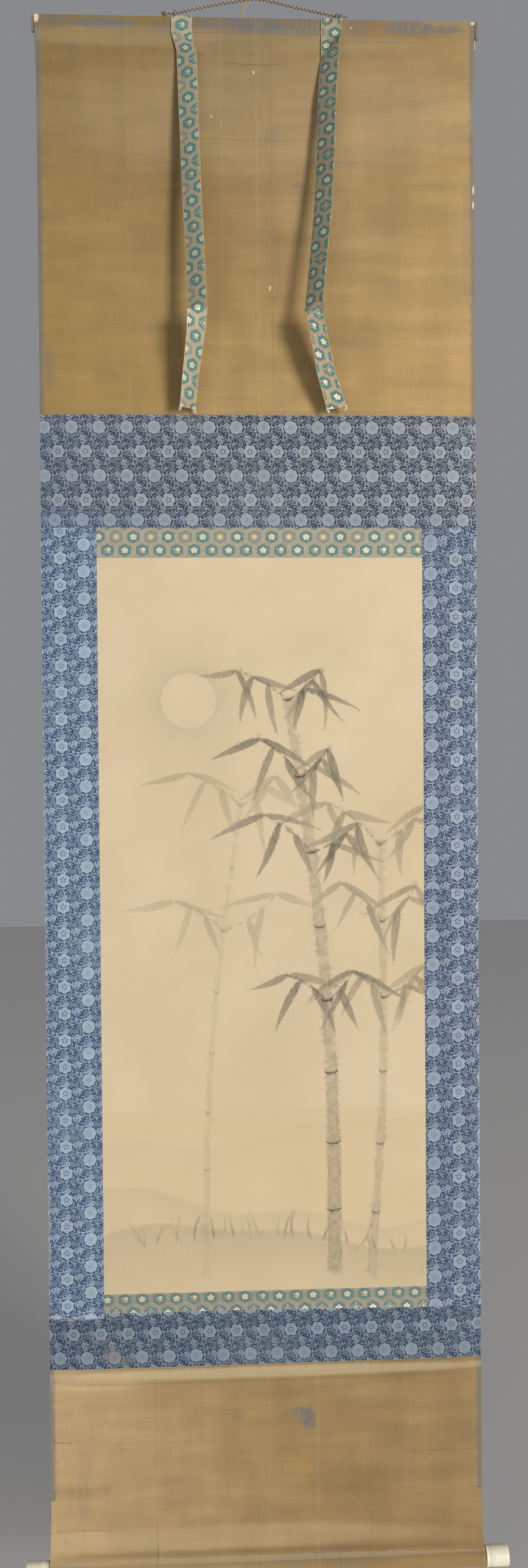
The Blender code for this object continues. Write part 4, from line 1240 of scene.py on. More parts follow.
brown_top = brown_silk(
    # Painted light: darker along the top and to the left, lighter low down on the right.
    "brown_silk_top", TOP_PANEL_END, 0.490, -2.0, ((0.59, 0.61, 0.82), (0.90, 0.98, 1.19)),
    (paint(156, 126, 58), 0.50),
    rubbed=[
        (-0.015, -0.0350, 0.068, 0.0100, 1.00), (0.055, -0.0360, 0.050, 0.0110, 0.90),
        (-0.245, -0.0330, 0.022, 0.0060, 0.75), (-0.190, -0.0350, 0.042, 0.0060, 0.90),
        (-0.115, -0.0400, 0.020, 0.0035, 0.90), (0.128, -0.0340, 0.016, 0.0110, 0.80),
        (0.190, -0.0350, 0.036, 0.0080, 1.00), (0.235, -0.0360, 0.024, 0.0050, 0.70),
        (0.140, -0.0530, 0.070, 0.0010, 0.80), (0.0173, -0.1720, 0.012, 0.0060, 0.30),
        (-0.2270, -0.0640, 0.004, 0.0040, 0.60), (-0.2270, -0.0800, 0.003, 0.0030, 0.50),
        (0.0237, -0.3220, 0.009, 0.0070, 0.38), (0.0495, -0.2316, 0.008, 0.0040, 0.40),
        (-0.215, -0.4150, 0.016, 0.0040, 0.28), (-0.262, -0.4600, 0.008, 0.0300, 0.35),
        (0.262, -0.3000, 0.006, 0.0800, 0.25), (0.000, -0.5160, 0.290, 0.0018, 0.35),
    ],
    pale=[
        (-0.2728, -0.0295, 0.0045, 0.0060, 1.00), (0.2709, -0.0267, 0.0022, 0.0030, 0.90),
        (0.2712, -0.2330, 0.0014, 0.0055, 0.95), (0.2708, -0.2520, 0.0012, 0.0050, 0.95),
        (-0.0040, -0.0934, 0.0012, 0.0022, 0.85), (-0.0566, -0.1480, 0.0012, 0.0016, 0.75),
        (0.0142, -0.3600, 0.0012, 0.0030, 0.80), (0.1180, -0.0360, 0.0012, 0.0012, 0.70),
        (0.0000, -0.1450, 0.2600, 0.0700, 0.10), (-0.1500, -0.0500, 0.1600, 0.0120, 0.10),
        (0.0300, -0.0560, 0.1600, 0.0140, 0.07),
    ],
    # Painted shade in two ripples, under the stave, at the seam below and in one faint line.
    crease_shade_rows=[
        (-0.0010, -0.0812, 0.040, 0.0028, 0.0004, 0.75),
        (-0.0020, -0.1735, 0.068, 0.0026, 0.0004, 0.50),
        (0.0460, -0.0440, 0.220, 0.0006, 0.0004, 0.50),
        (-0.1500, -0.0455, 0.120, 0.0004, 0.0003, 0.35),
        (0.0700, -0.5125, 0.110, 0.0000, 0.0004, 0.35),
        (-0.1500, -0.4300, 0.090, 0.0010, 0.0004, 0.16),
    ],
    uprights=[(0.0175, 0.20), (-0.0980, 0.08), (0.0900, 0.10)],
    light_uprights=[(-0.0446, 0.06), (-0.0005, 0.08), (-0.1600, 0.05)],
)
brown_low = brown_silk(
    # Painted light: lighter at the left, darker towards the right.
    "brown_silk_low", LOW_PANEL_FOOT, 0.250, -1.8730, ((1.17, 0.86, 0.76), (1.22, 0.85, 0.80)),
    (paint(170, 146, 112), 0.45),
    rubbed=[
        (0.041, -1.7690, 0.019, 0.0060, 1.00), (0.048, -1.7760, 0.014, 0.0090, 0.90),
        (0.052, -1.7850, 0.009, 0.0080, 0.70), (-0.1393, -1.9420, 0.0012, 0.0330, 0.80),
        (-0.0381, -1.7724, 0.006, 0.0060, 0.60), (0.0892, -1.9570, 0.0016, 0.0140, 0.85),
        (0.0550, -1.9510, 0.040, 0.0045, 0.45), (0.0000, -1.9580, 0.150, 0.0060, 0.25),
        (0.0000, -1.7110, 0.280, 0.0018, 0.25), (-0.230, -1.8500, 0.010, 0.0500, 0.20),
    ],
    # Painted highlights: the light band under the seam, the lighter cloth above the valley and the
    # roller's bulge.
    pale=[(0.0000, -1.7165, 0.2900, 0.0070, 0.34), (-0.2300, -1.7260, 0.0900, 0.0090, 0.12),
          (-0.0500, -1.9240, 0.2600, 0.0140, 0.16), (0.0000, -1.9510, 0.2900, 0.0034, 0.30)],
    # Painted shade under the light band, in small wrinkles at the sides, along the seam and in the
    # valley above the roller.
    crease_shade_rows=[
        (0.0000, -1.7265, 0.270, 0.0012, 0.0016, 0.26),
        (0.2200, -1.8240, 0.050, -0.0010, 0.0006, 0.30),
        (-0.2570, -1.7998, 0.013, 0.0006, 0.0007, 0.45),
        (-0.2320, -1.8600, 0.042, 0.0020, 0.0060, 0.22),
        (-0.2320, -1.9130, 0.040, -0.0020, 0.0010, 0.30),
        (0.0000, -1.7085, 0.274, 0.0000, 0.0005, 0.50),
        (0.0000, -1.9425, 0.274, 0.0000, 0.0026, 0.36),
    ],
    uprights=[(-0.1400, 0.14), (-0.0830, 0.12), (0.1306, 0.16), (-0.0122, 0.10)],
    light_uprights=[(0.0630, 0.10), (0.0020, 0.05), (0.1750, 0.05)],
)


# %% Paper and lining
def paper_color(tree, uv):
    """Warm sized paper with slow clouds, long fibres and small foxed spots."""
    slow, blotches, specks = read_group(tree, age_group, "Slow", "Blotches", "Specks", Map=uv,
                                        Size=1.2)
    color = mix_color(tree, slow, paint(190, 170, 134), paint(210, 193, 162))
    color = shade_by(tree, color, 0.16, blotches)
    color = mix_color(tree, specks * 0.25, color, paint(160, 134, 92))
    return color, blotches


LINING_LENGTH, CREASE_DROP = 0.235, 0.690
lining, tree, shader = new_material("lining_paper", roughness=0.88)
uv = piece_map(tree)
color, blotches = paper_color(tree, uv)
lap = (split(tree, uv)[1] / LINING_LENGTH).math("FRACT")
lap_shadow = (lap - 0.02).size().soft_below(0.006, 0.004)
color = mix_color(tree, lap_shadow * 0.35, color, paint(150, 132, 98))
fibre = noise(tree, uv, 900.0, 3.0, 0.6, (1.0, 0.12, 1.0))
tree.links.new(shade_by(tree, color, 0.20, fibre), shader.inputs["Base Color"])
add_bump(tree, shader, fibre + blotches, 0.3, 0.0001)

paper, tree, shader = new_material("painting_paper_sheet", roughness=0.82)
uv = piece_map(tree)
color, blotches = paper_color(tree, uv)
below_crease = split(tree, uv)[1].soft_below(PAPER_TOP - PAPER_END - CREASE_DROP, 0.001)
color = mix_color(tree, below_crease * 0.26, color, paint(198, 174, 132))
ink = Wire(tree, add_node(tree, "ShaderNodeAttribute", {"attribute_name": "ink"}).outputs["Fac"])
grain = noise(tree, uv, 620.0, 4.0, 0.7)
dry = noise(tree, uv, 260.0, 3.0, 0.6, (1.0, 0.35, 1.0))
ink = ink * ((grain - 0.5) * 0.5 + 1.0) * ((dry - 0.5) * 0.9 + 1.0)
color = mix_color(tree, ink.smaller(1.0), color, paint(74, 72, 62))
tree.links.new(color, shader.inputs["Base Color"])
add_bump(tree, shader, grain + blotches, 0.25, 0.0001)
print("silk, paper and lining")

# %% [markdown]
# ## Panels between the seams
# Each panel is cut to its seams and lies in the one hanging surface, so neighbours meet edge
# to edge as pasted cloth does.

# %% Flat panels
LINES_APART, ROWS_APART, STEP_SIDE = 0.0045, 0.0032, 0.0001


def constant(value):
    """A straight seam or side."""
    return lambda place: np.full(np.shape(place), value)


def cloth_left(z):
    return -half_width(z)


def bottom_band_end(x):
    share = x / CLOTH_WIDTH + 0.5
    return BOTTOM_BAND_END_LEFT + (BOTTOM_BAND_END_RIGHT - BOTTOM_BAND_END_LEFT) * share


def bottom_band_top(x):
    """The bottom band's upper edge, which steps down under the longer left column."""
    rise = BROCADE_END + (RIGHT_COLUMN_END - BROCADE_END) * smooth_step(x / PAPER_RIGHT)
    return np.where(x < PAPER_LEFT, LEFT_COLUMN_END, rise)


def flat_panel(name, sides, ends, fabric, step_at=None):
    """A piece of cloth between two side lines and two seams, each a line of its own.

    Where a seam has a step, the two columns nearest to it are drawn to its sides.
    """
    (left, right), (top, bottom) = sides, ends
    middle = 0.5 * (left(-1.0) + right(-1.0))
    high, low = float(top(middle)), float(bottom(middle))
    columns = max(2, round((right(-1.0) - left(-1.0)) / LINES_APART))
    rows = max(2, round((high - low) / ROWS_APART))
    down, across = np.meshgrid(np.linspace(0, 1, rows + 1), np.linspace(0, 1, columns + 1),
                               indexing="ij")
    level = high + (low - high) * down
    x = left(level) + (right(level) - left(level)) * across
    if step_at is not None:
        for column in sorted(np.argsort(np.abs(x[0] - step_at))[:2]):
            x[:, column] = step_at + math.copysign(STEP_SIDE, x[0, column] - step_at)
    z = top(x) + (bottom(x) - top(x)) * down
    points = np.stack([x, PLANE_Y + relief(x, z), z], axis=2)
    flat = np.stack([x + HALF_MAP, z - low + 0.01], axis=2)
    piece = sheet_piece(name, points, flat, (fabric, lining))
    size = (float(np.ptp(x)), high - low)
    print(f"{name}: {1000 * size[0]:.0f} by {1000 * size[1]:.0f} mm")
    return piece, size


PANELS = [
    # name, the solid that it stands for, part of the width, seam above, seam below, fabric
    ("top_band", "blue_top_band", "whole", TOP_PANEL_END, TOP_BAND_END, navy_damask),
    ("narrow_strip", "blue_narrow_strip", "whole", TOP_BAND_END, NARROW_STRIP_END, narrow_damask),
    ("upper_brocade", "brocade_strip_top", "paper", NARROW_STRIP_END, PAPER_TOP, brocades["above"]),
    ("lower_brocade", "brocade_strip_bottom", "paper", PAPER_END, BROCADE_END, brocades["below"]),
    ("left_column", "blue_column_left", "left", NARROW_STRIP_END, LEFT_COLUMN_END, blue_left),
    ("right_patch", "blue_column_right_patch", "right", NARROW_STRIP_END, PATCH_END, blue_right),
    ("right_upper", "blue_column_right_upper", "right", PATCH_END, RIGHT_COLUMN_JOIN, blue_right),
    ("right_lower", "blue_column_right_lower", "right", RIGHT_COLUMN_JOIN, RIGHT_COLUMN_END,
     blue_right),
]
WIDTH_PARTS = {
    "whole": (cloth_left, half_width),
    "paper": (constant(PAPER_LEFT), constant(PAPER_RIGHT)),
    "left": (cloth_left, constant(PAPER_LEFT)),
    "right": (constant(PAPER_RIGHT), half_width),
}
SLOTS = {
    navy_damask.name: "navy_damask", narrow_damask.name: "navy_damask",
    blue_left.name: "blue_damask", blue_right.name: "blue_damask",
    brocades["above"].name: "hexagon_brocade", brocades["below"].name: "hexagon_brocade",
}
sheets = []
for name, solid, part, upper, lower, fabric in PANELS:
    seam_below = bottom_band_top if name == "lower_brocade" else constant(lower)
    piece, size = flat_panel(name, WIDTH_PARTS[part], (constant(upper), seam_below), fabric)
    sheets.append((piece, solid, size, SLOTS[fabric.name]))
piece, size = flat_panel("bottom_band", WIDTH_PARTS["whole"], (bottom_band_top, bottom_band_end),
                         blue_bottom, PAPER_LEFT)
sheets.append((piece, "blue_bottom_band", size, "navy_damask"))

# %% [markdown]
# ### Top panel
# The silk goes up the front, over the stave and down behind it, where its end is pasted back.
# So the sheet follows a path in the side view, which is then drawn out over the width.

# %% Top panel
SLEEVE_FLAP, SLEEVE_TURN, FLAP_LEAVES, PANEL_LEAVES = 0.014, -72.0, 0.0022, 0.004
TO_MIDDLE = SOLID_GAP + 0.5 * SOLID_THICK
stave_middle = STAVE_TOP - 0.5 * STAVE_HEIGHT - SOLID_GAP - SOLID_THICK
stave_foot = stave_middle - 0.5 * STAVE_HEIGHT
stave_corner = stave_middle + 0.5 * STAVE_HEIGHT


def stave_wrap():
    """The sleeve's path behind and over the stave, from its pasted end to the front."""
    path = [(SOLID_THICK + SOLID_GAP, stave_foot - drop)
            for drop in (SLEEVE_FLAP, 0.5 * SLEEVE_FLAP, FLAP_LEAVES)]
    for angle in np.radians(np.linspace(SLEEVE_TURN, 90.0, 25)):
        path.append((0.5 * SOLID_THICK + SOLID_GAP + (STAVE_DEPTH + TO_MIDDLE) * np.cos(angle),
                     stave_middle + (0.5 * STAVE_HEIGHT + TO_MIDDLE) * np.sin(angle)))
    for angle in np.radians((110.0, 130.0, 150.0, 170.0, 180.0)):
        path.append((0.5 * SOLID_THICK + SOLID_GAP + TO_MIDDLE * np.cos(angle),
                     stave_corner + TO_MIDDLE * np.sin(angle)))
    return path


def drawn_sheet(name, path, half, hang, fabric, map_start):
    """A side-view path drawn out over the width. hang is 1 where a row hangs free."""
    path = np.array(path)
    columns = round(CLOTH_WIDTH / LINES_APART)
    across = np.linspace(-1.0, 1.0, columns + 1)
    x = half[:, None] * across[None]
    z = np.repeat(path[:, 1:], columns + 1, axis=1)
    y = PLANE_Y + path[:, :1] + relief(x, z) * hang[:, None]
    flat_v = map_start - path_lengths(path)
    flat = np.stack([x + HALF_MAP, np.repeat(flat_v[:, None], columns + 1, axis=1)], axis=2)
    return sheet_piece(name, np.stack([x, y, z], axis=2), flat, (fabric, lining))


wrap = stave_wrap()
free_rows = round((stave_foot - PANEL_LEAVES - TOP_PANEL_END) / ROWS_APART)
fall = np.linspace(stave_corner - 0.002, TOP_PANEL_END, free_rows)
path = wrap + [(0.0, z) for z in fall]
hang = np.array([0.0] * len(wrap) + [1.0] * len(fall))
half = np.where(hang > 0.0, half_width(np.array(path)[:, 1]), 0.5 * STAVE_LENGTH)
path_length = path_lengths(np.array(path))[-1]
top_panel = drawn_sheet("top_panel_silk", path, half, hang, brown_top, path_length)
sheets.append((top_panel, "top_panel", (CLOTH_WIDTH, path_length), "brown_silk"))
print(f"top panel {1000 * path_length:.0f} mm long with its sleeve")

# %% [markdown]
# ### Lower panel
# At the bottom the silk leaves the plane in a soft valley, runs round the roller and is pasted
# up behind. Its upper seam slopes by two millimetres from left to right.

# %% Lower panel
ROLLER_TOUCH, ROLLER_EASE, TOUCH_EASE, POCKET_SWEEP = 60.0, 0.013, 0.006, 290.0
POCKET_FLAP = [(0.0009, 0.0150), (0.0002, 0.0190), (0.0, 0.0230), (0.0, 0.0350)]
POCKET_FROM, SEAM_EASE = 0.012, 0.06
roller_y = ROLLER_Y - PLANE_Y
pocket_radius = ROLLER_RADIUS + TO_MIDDLE
touch = math.radians(ROLLER_TOUCH)
meet = (roller_y - pocket_radius * math.cos(touch), ROLLER_Z + pocket_radius * math.sin(touch))
handles = np.array([
    (0.0, ROLLER_Z + ROLLER_LEAVES), (0.0, ROLLER_Z + ROLLER_LEAVES - ROLLER_EASE),
    (meet[0] + TOUCH_EASE * math.sin(touch), meet[1] + TOUCH_EASE * math.cos(touch)), meet,
])
seam_middle = 0.5 * (BOTTOM_BAND_END_LEFT + BOTTOM_BAND_END_RIGHT)
fall_rows = round((seam_middle - handles[0][1]) / ROWS_APART)
path = [(0.0, z) for z in np.linspace(seam_middle, handles[0][1], fall_rows + 1)]
for t in np.linspace(0.0, 1.0, 13)[1:-1]:
    weights = np.array(((1 - t) ** 3, 3 * t * (1 - t) ** 2, 3 * t * t * (1 - t), t**3))
    path.append(tuple(weights @ handles))
for angle in np.pi - touch + np.radians(np.linspace(0.0, POCKET_SWEEP, 49)):
    path.append((roller_y + pocket_radius * math.cos(angle),
                 ROLLER_Z + pocket_radius * math.sin(angle)))
flap_y = SOLID_THICK + SOLID_GAP
path += [(flap_y + y, ROLLER_Z + z) for y, z in POCKET_FLAP]
depths, heights = np.array(path).T
wide = (heights > ROLLER_Z + POCKET_FROM) | (depths <= 0.0)
half = np.where(wide, half_width(heights), 0.5 * POCKET_WIDTH)
hang = (np.arange(len(path)) < fall_rows).astype(float)
path_length = path_lengths(np.array(path))[-1]
lower_panel = drawn_sheet("lower_panel_silk", path, half, hang, brown_low,
                          seam_middle - LOW_PANEL_FOOT)
for vertex in lower_panel.data.vertices:
    near_seam = float(smooth_step((vertex.co.z - seam_middle + SEAM_EASE) / SEAM_EASE))
    if vertex.co.y < 0.004 and vertex.co.z > ROLLER_Z + 0.1:
        vertex.co.z += near_seam * (float(bottom_band_end(vertex.co.x)) - seam_middle)
sheets.append((lower_panel, "lower_panel", (POCKET_WIDTH, path_length), "brown_silk"))
print(f"lower panel {1000 * path_length:.0f} mm long with its pocket")

# %% [markdown]
# ## The painted sheet
# The sheet holds a quiet ink design: tall bamboo over pale ground, with a washed moon. A brush
# stroke is wet at its edge and thin in its middle, so each stroke is a small set of rows across
# its own path. Those rows become points of the paper's mesh, which is how a stroke keeps a
# clean edge. How much ink lies on each point is worked out once and kept with the mesh.

# %% Brush strokes
PAPER_WIDE = PAPER_RIGHT - PAPER_LEFT
PAPER_HIGH = PAPER_TOP - PAPER_END
WET_EDGE = 0.0006


class Stroke:
    """A path with a half width and a tone at each of its points."""

    def __init__(self, path, half, tone, core=1.0):
        self.path = np.array(path)
        self.half = np.array(half)
        self.tone = np.array(tone)
        self.core = core
        ahead = np.gradient(self.path, axis=0)
        self.side = np.stack([-ahead[:, 1], ahead[:, 0]], 1)
        self.side /= np.linalg.norm(self.side, axis=1, keepdims=True) + 1e-9

    def rows(self):
        """Mesh points that follow the stroke: both sides of its edge, and its middle."""
        reaches = [self.half * share for share in (0.0, 0.5, 0.85)]
        reaches += [self.half, self.half + WET_EDGE]
        wide = [reach * sign for reach in reaches for sign in (1.0, -1.0)]
        return np.concatenate([self.path + self.side * row[:, None] for row in wide])

    def ink(self, points):
        """Ink on each point: full tone inside, a darker wet edge and nothing outside."""
        low = self.path.min(0) - self.half.max() - 2 * WET_EDGE
        high = self.path.max(0) + self.half.max() + 2 * WET_EDGE
        laid = np.zeros(len(points))
        inside = np.flatnonzero(((points >= low) & (points <= high)).all(1))
        if len(inside) == 0:
            return laid
        for a, b, i in zip(self.path, self.path[1:], range(len(self.path))):
            run = b - a
            share = np.clip(((points[inside] - a) @ run) / (run @ run + 1e-12), 0.0, 1.0)
            away = np.linalg.norm(points[inside] - a - share[:, None] * run, axis=1)
            half = self.half[i] + (self.half[i + 1] - self.half[i]) * share
            tone = self.tone[i] + (self.tone[i + 1] - self.tone[i]) * share
            edge = np.clip((half + WET_EDGE - away) / WET_EDGE, 0.0, 1.0)
            rim = np.clip(away / np.maximum(half, 1e-6), 0.0, 1.0) ** 2
            laid[inside] = np.maximum(laid[inside],
                                      edge * tone * (self.core + (1.0 - self.core) * rim))
        return laid


def leaf(root, angle, length, wide, bend, tone):
    """A bamboo leaf: a fine start, a swelling and a long point."""
    t = np.linspace(0.0, 1.0, 16)
    turn = angle + bend * (t - 0.3)
    steps = np.stack([np.cos(turn), np.sin(turn)], 1) * length / 15
    path = root + np.concatenate([[[0.0, 0.0]], np.cumsum(steps[1:], axis=0)])
    swell = np.sin(np.pi * t**0.62) ** 0.9
    return Stroke(path, 0.00025 + 0.5 * wide * swell, tone * (1.0 - 0.35 * t))


def stalk(foot, top, bow, half, tone, joints):
    """One stalk in lengths between its joints, each with a dark little bracket."""
    foot, top = np.array(foot), np.array(top)
    across = np.array([-(top - foot)[1], (top - foot)[0]])
    across /= np.linalg.norm(across)
    strokes, places = [], []
    ends = np.linspace(0.0, 1.0, joints + 1) ** 1.08
    for low, high in zip(ends, ends[1:]):
        t = np.linspace(low + 0.006, high - 0.006, 9)
        path = foot + (top - foot) * t[:, None] + across * bow * np.sin(math.pi * t)[:, None]
        ease = 1.0 + 0.16 * np.abs(np.linspace(-1.0, 1.0, 9)) ** 3
        width = half * (1.0 - 0.35 * t) * ease
        strokes.append(Stroke(path, width, tone * (1.0 - 0.25 * t), core=0.62))
        joint = foot + (top - foot) * high + across * bow * math.sin(math.pi * high)
        arm = across * half * (1.0 - 0.35 * high)
        lift = (top - foot) / np.linalg.norm(top - foot) * 0.002
        bracket = [joint - arm * 1.15 + lift, joint - arm * 0.6, joint, joint + arm * 0.6,
                   joint + arm * 1.15 + lift]
        strokes.append(Stroke(bracket, np.array((0.5, 0.9, 0.6, 0.9, 0.5)) * 0.0011,
                              np.full(5, min(1.0, tone * 1.6))))
        places.append(joint)
    return strokes, places


def twig(start, angle, length, rng, tone, leaves):
    """A thin branch with a fan of leaves at its end and a few on the way."""
    t = np.linspace(0.0, 1.0, 8)
    turn = angle + 0.5 * (t - 0.5)
    steps = np.stack([np.cos(turn), np.sin(turn)], 1) * length / 7
    path = start + np.concatenate([[[0.0, 0.0]], np.cumsum(steps[1:], axis=0)])
    strokes = [Stroke(path, np.linspace(0.0013, 0.0006, 8), np.full(8, tone * 0.9))]
    for i in range(leaves):
        root = path[-1 - i % 3 * 2]
        fan = -0.5 * math.pi + (i / max(1, leaves - 1) - 0.5) * 2.3 + rng.uniform(-0.22, 0.22)
        long = rng.uniform(0.046, 0.078)
        strokes.append(leaf(root, fan, long, rng.uniform(0.0062, 0.0092),
                            rng.uniform(-0.5, 0.5), tone * rng.uniform(0.8, 1.2)))
    return strokes


# %% The bamboo
STALKS = [
    # foot, top, bow, half width, tone, joints, and the joints that carry twigs
    ((0.128, 0.020), (0.176, 0.610), 0.014, 0.0034, 0.20, 8, (5, 7)),
    ((0.336, 0.016), (0.350, 0.560), -0.010, 0.0048, 0.34, 6, (3, 4, 5)),
    ((0.290, 0.022), (0.236, 0.742), -0.018, 0.0080, 0.46, 8, (3, 5, 6, 7)),
]
paint_rng = np.random.default_rng(23)
strokes = []
for foot, top, bow, half, tone, joints, carrying in STALKS:
    lengths, places = stalk(foot, top, bow, half, tone, joints)
    strokes += lengths
    for i in carrying:
        for way in (-1.0, 1.0):
            angle = 0.5 * math.pi - way * paint_rng.uniform(0.75, 1.05)
            strokes += twig(places[i], angle, paint_rng.uniform(0.050, 0.085), paint_rng,
                            min(0.78, tone * 1.35), int(paint_rng.integers(4, 7)))
for x in np.linspace(0.045, 0.375, 26):
    root = np.array((x + paint_rng.uniform(-0.008, 0.008), 0.050 + 0.020 * math.sin(9.0 * x)))
    strokes.append(leaf(root, 0.5 * math.pi + paint_rng.uniform(-0.6, 0.6),
                        paint_rng.uniform(0.014, 0.038), 0.0022,
                        paint_rng.uniform(-0.9, 0.9), paint_rng.uniform(0.25, 0.5)))
print(f"{len(strokes)} brush strokes")

# %% Ink on the sheet
MOON, MOON_EDGE, HALO = (0.112, 0.742, 0.034), 0.001, 0.024
GRID_STEP, SLOPE_EDGE = 0.0075, 0.004
SLOPES = [
    # height, swing, waves in radians to a metre, their start, depth and tone of each slope
    (0.070, 0.016, 11.0, 0.4, 0.060, 0.20), (0.112, 0.026, 7.0, 2.2, 0.045, 0.11),
    (0.205, 0.020, 9.0, 4.0, 0.030, 0.05),
]


def slope_line(x, height, swing, turns, start):
    return height + swing * np.sin(turns * x + start) + 0.3 * swing * np.sin(31.0 * x)


def washes(points):
    """Pale washes: two slopes of ground, mist behind the stalks and a ring round the moon."""
    x, y = points[:, 0], points[:, 1]
    laid = np.zeros(len(points))
    for *shape, deep, tone in SLOPES:
        below = slope_line(x, *shape) - y
        edge = np.clip(below / SLOPE_EDGE, 0.0, 1.0)
        laid += tone * edge * np.exp(-np.maximum(below, 0.0) / deep)
    past = np.hypot(x - MOON[0], y - MOON[1]) - MOON[2]
    halo = np.exp(-np.maximum(past, 0.0) / HALO) * np.clip(past / MOON_EDGE, 0.0, 1.0)
    mist = np.exp(-((x - 0.26) / 0.10) ** 2 - ((y - 0.40) / 0.20) ** 2)
    return laid + 0.17 * halo + 0.045 * mist


def paper_points():
    """A plain grid, the rows of every stroke and the outline of each wash, all on the sheet."""
    columns, rows = round(PAPER_WIDE / GRID_STEP), round(PAPER_HIGH / GRID_STEP)
    xs, ys = np.linspace(0.0, PAPER_WIDE, columns + 1), np.linspace(0.0, PAPER_HIGH, rows + 1)
    grid = np.stack(np.meshgrid(xs, ys), 2).reshape(-1, 2)
    turns = np.linspace(0.0, FULL_TURN, 97)[:-1]
    circle = np.stack([np.cos(turns), np.sin(turns)], 1)
    rings = [np.array(MOON[:2]) + circle * (MOON[2] + more) for more in (0.0, 0.001, 0.008)]
    x = np.linspace(0.001, PAPER_WIDE - 0.001, 160)
    slopes = [np.stack([x, slope_line(x, *shape) - below], 1)
              for *shape, deep, tone in SLOPES for below in (0.0, SLOPE_EDGE)]
    drawn = np.concatenate([stroke.rows() for stroke in strokes] + rings + slopes)
    inside = ((drawn > 0.0008) & (drawn < (PAPER_WIDE - 0.0008, PAPER_HIGH - 0.0008))).all(1)
    drawn = np.unique(np.round(drawn[inside], 4), axis=0)
    return np.concatenate([grid, drawn])


flat = paper_points()
found = delaunay_2d_cdt([Vector(point) for point in flat.tolist()], [], [], 0, 1e-6)
flat = np.array([tuple(vertex) for vertex in found[0]])
triangles = np.array([face for face in found[2]])
ink = washes(flat)
for stroke in strokes:
    ink = np.maximum(ink, stroke.ink(flat)) + 0.25 * np.minimum(ink, stroke.ink(flat))
print(f"paper of {len(triangles)} triangles, most ink {ink.max():.2f}")


# %% Painting sheet
def edge_loop(flat):
    """The points on the sheet's outline, once round."""
    tight = 1e-5
    at = {"low": flat[:, 1] < tight, "right": flat[:, 0] > PAPER_WIDE - tight,
          "high": flat[:, 1] > PAPER_HIGH - tight, "left": flat[:, 0] < tight}
    order = []
    for side, axis, way in (("low", 0, 1), ("right", 1, 1), ("high", 0, -1), ("left", 1, -1)):
        picked = np.flatnonzero(at[side])
        order += picked[np.argsort(way * flat[picked, axis])].tolist()[:-1]
    return np.array(order)


x, z = PAPER_LEFT + flat[:, 0], PAPER_END + flat[:, 1]
points = np.stack([x, PLANE_Y + relief(x, z), z], 1)
half_thick = np.array((0.0, 0.5 * SHEET_THICK, 0.0))
both = np.concatenate([points - half_thick, points + half_thick])
rim = edge_loop(flat)
following = np.roll(rim, -1)
count = len(points)
edge = np.stack([following, rim, rim + count, following + count], 1)
corners = triangles.tolist() + (triangles[:, ::-1] + count).tolist() + edge.tolist()
painting = cloth_mesh("painting_on_paper", both, corners, len(triangles), flat, (paper, lining))
laid = painting.data.attributes.new("ink", "FLOAT", "POINT")
laid.data.foreach_set("value", np.tile(ink, 2).astype(np.float32))
sheets.append((painting, "painting_sheet", (PAPER_WIDE, PAPER_HIGH), "painting_paper"))

# %% [markdown]
# ## Streamers
# Two strips of the brocade hang from the stave. They were folded away when the scroll was
# rolled, so each still has a sharp kink four fifths of the way down, and the lower end turns
# the other way. The first table repeats the solids. The second one tilts a row, which gives
# the slanting fold at the right strip's top and the slanting kinks.

# %% Streamer strips
STREAMER_WIDTH, STREAMER_STEP, STREAMER_COLUMNS, REST_Y = 0.0256, 0.0030, 12, -0.0013
STREAMERS = {
    "left": [
        # height, middle, stand-off and turn in degrees
        (-0.0440, -0.0925, 0.0, 0), (-0.0485, -0.0925, 0.0008, 0),
        (-0.0560, -0.0910, 0.0028, -8), (-0.0720, -0.0866, 0.0074, -20),
        (-0.1310, -0.0849, 0.0150, -20), (-0.2040, -0.0831, 0.0240, -26),
        (-0.2750, -0.0807, 0.0320, -27), (-0.3270, -0.0781, 0.0375, -28),
        (-0.3960, -0.0757, 0.0430, -30), (-0.4020, -0.0758, 0.0425, 20),
        (-0.4290, -0.0783, 0.0370, 34), (-0.4740, -0.0848, 0.0250, 42),
        (-0.5135, -0.0891, 0.0160, 43),
    ],
    "right": [
        (-0.0440, 0.0934, 0.0, 0), (-0.0485, 0.0934, 0.0006, 0),
        (-0.0590, 0.0930, 0.0018, -3), (-0.0640, 0.0920, 0.0060, -25),
        (-0.0740, 0.0905, 0.0088, -29), (-0.1280, 0.0862, 0.0160, -34),
        (-0.2010, 0.0829, 0.0240, -38), (-0.2730, 0.0782, 0.0320, -36),
        (-0.3260, 0.0728, 0.0375, -38), (-0.3970, 0.0654, 0.0430, -38),
        (-0.4030, 0.0660, 0.0425, 30), (-0.4280, 0.0712, 0.0370, 30),
        (-0.4730, 0.0815, 0.0250, 22), (-0.5128, 0.0952, 0.0160, 8),
    ],
}
LEANS = {
    # height, and how far a row rises to the right, as a share of its width
    "left": [(-0.044, 0.0), (-0.056, -0.35), (-0.090, 0.0), (-0.380, 0.0), (-0.399, 0.10),
             (-0.420, 0.0), (-0.500, 0.0), (-0.5135, 0.05)],
    "right": [(-0.044, 0.0), (-0.0615, 1.05), (-0.100, 0.15), (-0.130, 0.0), (-0.385, 0.0),
              (-0.400, 0.24), (-0.430, 0.10), (-0.5128, 0.16)],
}
STREAMER_LIP = [(-0.2857, 0.0), (0.4286, 0.0001), (0.93, 0.0007), (1.0, 0.0020)]


